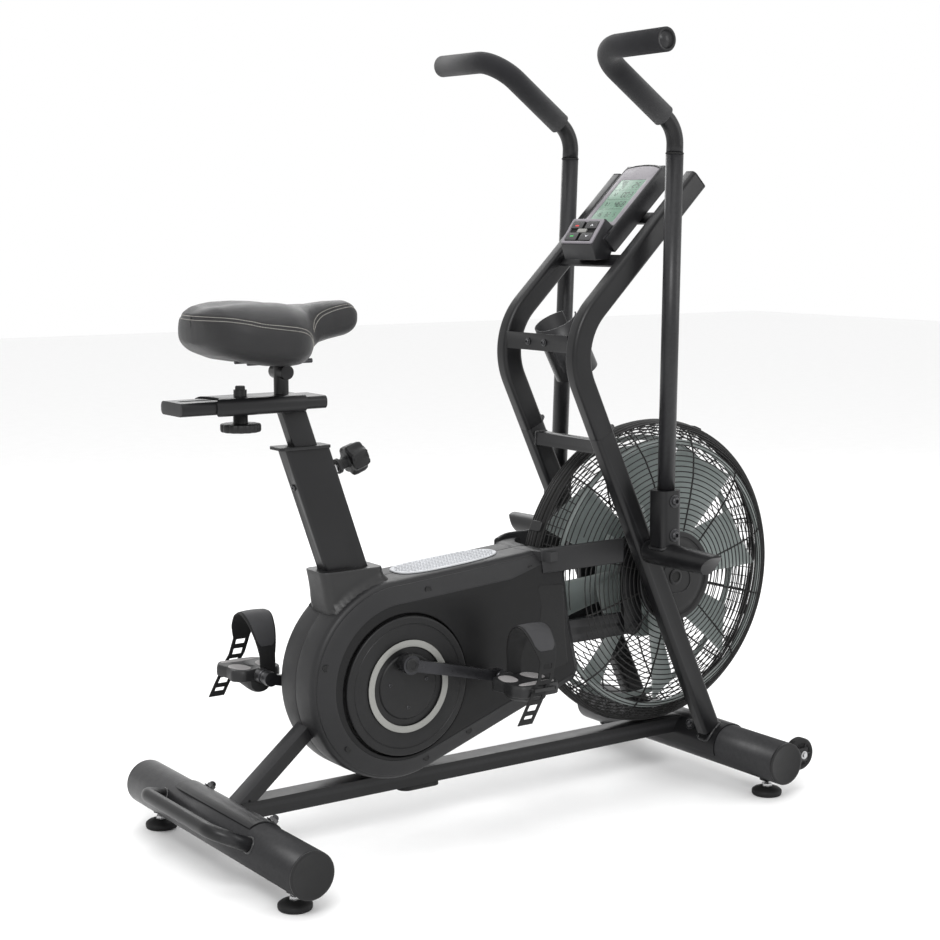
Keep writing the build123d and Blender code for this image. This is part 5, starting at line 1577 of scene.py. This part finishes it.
bez = ccw(resample(bez, 3.0))
ang = [math.atan2(w, u + 5) for u, w in bez]
inner = [on_rect(a, 56, 36) for a in ang]
inner2 = [on_rect(a, 57.2, 37.2) for a in ang]
loops = [[con(u, w, -0.25) for u, w in bez], [con(u, w, 0.35) for u, w in inset(bez, 0.5)], [con(u, w, 0.5) for u, w in inset(bez, 1.2)],
         [con(u, w, 0.5) for u, w in inner2], [con(u, w, 0.35) for u, w in inner], [con(u, w, -0.25) for u, w in inner]]
v, f = loops_data(loops, wrap=True)
add("console_bezel", v, f, "frame", "bezel", sharp=30, merge=0)
# liquid crystal window with generic digit bars
v, f = prism_data([(-61.5, -36.5), (51.5, -36.5), (51.5, 36.5), (-61.5, 36.5)], lambda u, w, h: con(u, w, h), [(-0.3, 0), (0.0, 0), (0.08, 0.3)])
add("lcd_window", v, f, "frame", "lcd", replaces=("lcd_screen",), merge=0)
SEG = {0: "abcdef", 1: "bc", 2: "abged", 3: "abgcd", 4: "fgbc", 5: "afgcd", 6: "afgcde", 7: "abc", 8: "abcdefg"}


def digit(n, u, w, s):
    """digit of height 2s and width s, its middle at (u, w); right is -w"""
    out = []
    t = 0.30 * s
    bars = {"a": (s, 0, 0), "g": (0, 0, 0), "d": (-s, 0, 0), "b": (s / 2, 0.5, 1), "c": (-s / 2, 0.5, 1), "f": (s / 2, -0.5, 1), "e": (-s / 2, -0.5, 1)}
    for k in SEG[n]:
        du, dw, vert = bars[k]
        cu, cw = u + du, w - dw * s
        if vert:
            out.append([(cu - s * 0.43, cw - t / 2), (cu + s * 0.43, cw - t / 2), (cu + s * 0.43, cw + t / 2), (cu - s * 0.43, cw + t / 2)])
        else:
            out.append([(cu - t / 2, cw - s * 0.4), (cu + t / 2, cw - s * 0.4), (cu + t / 2, cw + s * 0.4), (cu - t / 2, cw + s * 0.4)])
    return out


quads = []
for n, u, w, s in ((2, 37, -14, 6.5), (5, 37, -25, 6.5), (0, 11, -4, 6.5), (0, 11, -14, 6.5), (3, 11, -25, 6.5), (1, 12, 24, 3.6), (2, 12, 18, 3.6),
                   (4, -14, -4, 6.5), (6, -14, -14, 6.5), (8, -14, -25, 6.5), (0, -14, 24, 3.6), (7, -14, 18, 3.6), (1, -42, 24, 4.6), (6, -42, 16, 4.6), (3, -42, 0, 4.6), (2, -42, -8, 4.6), (5, -42, -24, 4.6)):
    quads += digit(n, u, w, s)
for u in (-27, -1, 24):
    for w0 in range(-30, 31, 6):
        quads.append([(u - 0.35, w0 - 2.6), (u + 0.35, w0 - 2.6), (u + 0.35, w0 + 2.6), (u - 0.35, w0 + 2.6)])
for u in range(28, 48, 3):
    quads.append([(u, 12), (u + 1.4, 12), (u + 1.4, 12 + (u - 24) * 0.8), (u, 12 + (u - 24) * 0.8)])
parts = []
for q in quads:
    parts.append(prism_data(ccw(q), lambda u, w, h: con(u, w, h), [(0.02, 0), (0.16, 0)]))
v, f = join(parts)
add("lcd_digits", v, f, "frame", "segment", merge=0)
# axes and placement of the keypad face
KE = Vector((33 / math.hypot(33, 47), 0, 47 / math.hypot(33, 47)))
KN = Vector((-KE.z, 0, KE.x))
KC = P((777 + 744) / 2, 0, (1081 + 1034) / 2)


def key(u, w, h):
    return KC + KE * (u / 1000) + SY * (w / 1000) + KN * (h / 1000)


# key frame: lilac plate with a dark four-way field
plate = ccw(resample(round2([(-27, -45), (27, -45), (27, 45), (-27, 45)], 4, 5), 3.0))
hole = [(max(-22.6, min(19.6, u * 0.86)), max(-37.6, min(37.6, w * 0.86))) for u, w in plate]
loops = [[key(u, w, -0.6) for u, w in plate], [key(u, w, 2.2) for u, w in plate], [key(u, w, 3.3) for u, w in inset(plate, 1.0)],
         [key(u, w, 3.5) for u, w in inset(plate, 2.0)], [key(u, w, 3.45) for u, w in inset(hole, -0.8)], [key(u, w, 3.0) for u, w in hole], [key(u, w, 0.05) for u, w in hole]]
v, f = loops_data(loops, wrap=True)
add("keypad_plate", v, f, "frame", "bezel", sharp=30, replaces=("keypad_bezel",), merge=0)
v, f = prism_data(ccw([(u, w) for u, w in hole]), key, [(0.02, 0), (0.32, 0)])
add("keypad_field", v, f, "frame", "dark", merge=0)
# small marks on the keys, each riding its own key
marks = {"top_left": ("upper_left_key", "red", [(9, 16), (9, 26), (12, 26), (12, 16)]),
         "low_left": ("lower_left_key", "green", [(-14, 16), (-14, 26), (-11, 26), (-11, 16)]),
         "top_right": ("upper_right_key", "white", [(9, -16.5), (9, -18.5), (13, -21.5), (9, -24.5), (9, -26.5), (15, -21.5)]),
         "low_right": ("lower_right_key", "white", [(-15, -21.5), (-9, -26.5), (-9, -24.5), (-13, -21.5), (-9, -18.5), (-9, -16.5)])}
for nm, (bd, mt, q) in marks.items():
    parts = []
    if len(q) == 4:
        parts.append(prism_data(ccw(q), key, [(3.95, 0), (4.12, 0)]))
    else:
        a = q[:3] + [q[5]] if nm == "top_right" else None
        if nm == "top_right":
            tris = [[(9.5, -16.5), (14.5, -21.5), (11.5, -21.5)], [(14.5, -21.5), (9.5, -26.5), (11.5, -21.5)]]
        else:
            tris = [[(-9.5, -16.5), (-11.5, -21.5), (-14.5, -21.5)], [(-14.5, -21.5), (-11.5, -21.5), (-9.5, -26.5)]]
        for t in tris:
            parts.append(prism_data(ccw(t), key, [(3.95, 0), (4.12, 0)]))
    v, f = join(parts)
    add("key_mark_" + nm, v, f, bd, mt, merge=0)
# outline bars of a generic vent pattern along the console's sides; the geometry is joined but never added to the scene
parts = []
for s in (-1, 1):
    for k in range(8):
        u = -52 + k * 15
        pts = [(u - 5, -20), (u + 1, -20), (u + 5, -13), (u - 1, -13)]
        q = [con(a, s * 54.0, b) for a, b in pts]
        parts.append(sweep_data(q, circle(0.00055, 5), closed=True, up=(0, 1, 0)))
        q = [con(a + 5.5, s * 54.0, b) for a, b in ((u - 2, -18.5), (u + 1, -18.5), (u + 3, -14.5), (u, -14.5))]
        parts.append(sweep_data(q, circle(0.0004, 5), closed=True, up=(0, 1, 0)))
v, f = join(parts)

# ------------------------------------------------------------------ camera, light, floor
scene = bpy.context.scene
cam = bpy.data.cameras.new("camera")
cam.lens = 70.2
cam.sensor_width = 36
cam.clip_end = 60
co = bpy.data.objects.new("camera", cam)
scene.collection.objects.link(co)
co.location = P(-1363.71, -2677.76, 1072.52)
co.rotation_euler = (math.radians(90 - 7.66), 0, -math.radians(34.92))
scene.camera = co

world = bpy.data.worlds.new("studio")
scene.world = world
world.use_nodes = True
bg = world.node_tree.nodes["Background"]
bg.inputs["Color"].default_value = (1.0, 1.0, 1.0, 1)
bg.inputs["Strength"].default_value = 1.0


def area(name, loc, target, size, power, col=(1, 1, 1)):
    l = bpy.data.lights.new(name, "AREA")
    l.shape = "RECTANGLE"
    l.size, l.size_y = size
    l.energy = power
    l.color = col
    o = bpy.data.objects.new(name, l)
    scene.collection.objects.link(o)
    o.location = loc
    o.rotation_euler = (Vector(target) - Vector(loc)).to_track_quat("-Z", "Y").to_euler()
    return o


area("key", (-2.2, -2.6, 3.2), (0, 0, 0.7), (1.8, 1.8), 90)
area("fill", (2.8, -2.4, 2.2), (0, 0, 0.6), (1.6, 2.2), 26)
area("rim", (1.6, 3.2, 2.8), (0, 0, 0.8), (2.6, 2.0), 46)
area("top", (-0.2, 0.2, 3.8), (0, 0, 0), (3.0, 3.0), 34)

fm = bpy.data.meshes.new("floor")
fm.from_pydata([(-14, -14, -0.0005), (14, -14, -0.0005), (14, 14, -0.0005), (-14, 14, -0.0005)], [], [(0, 1, 2, 3)])
floor = bpy.data.objects.new("floor", fm)
scene.collection.objects.link(floor)
M["floor"] = finish("pale_floor", (0.93, 0.93, 0.93), 0.8, grain=(60, 0.02, 0.0005), var=0.01, spec=0.2)
fm.materials.append(M["floor"])
scene.view_settings.view_transform = "Standard"
scene.view_settings.look = "None"
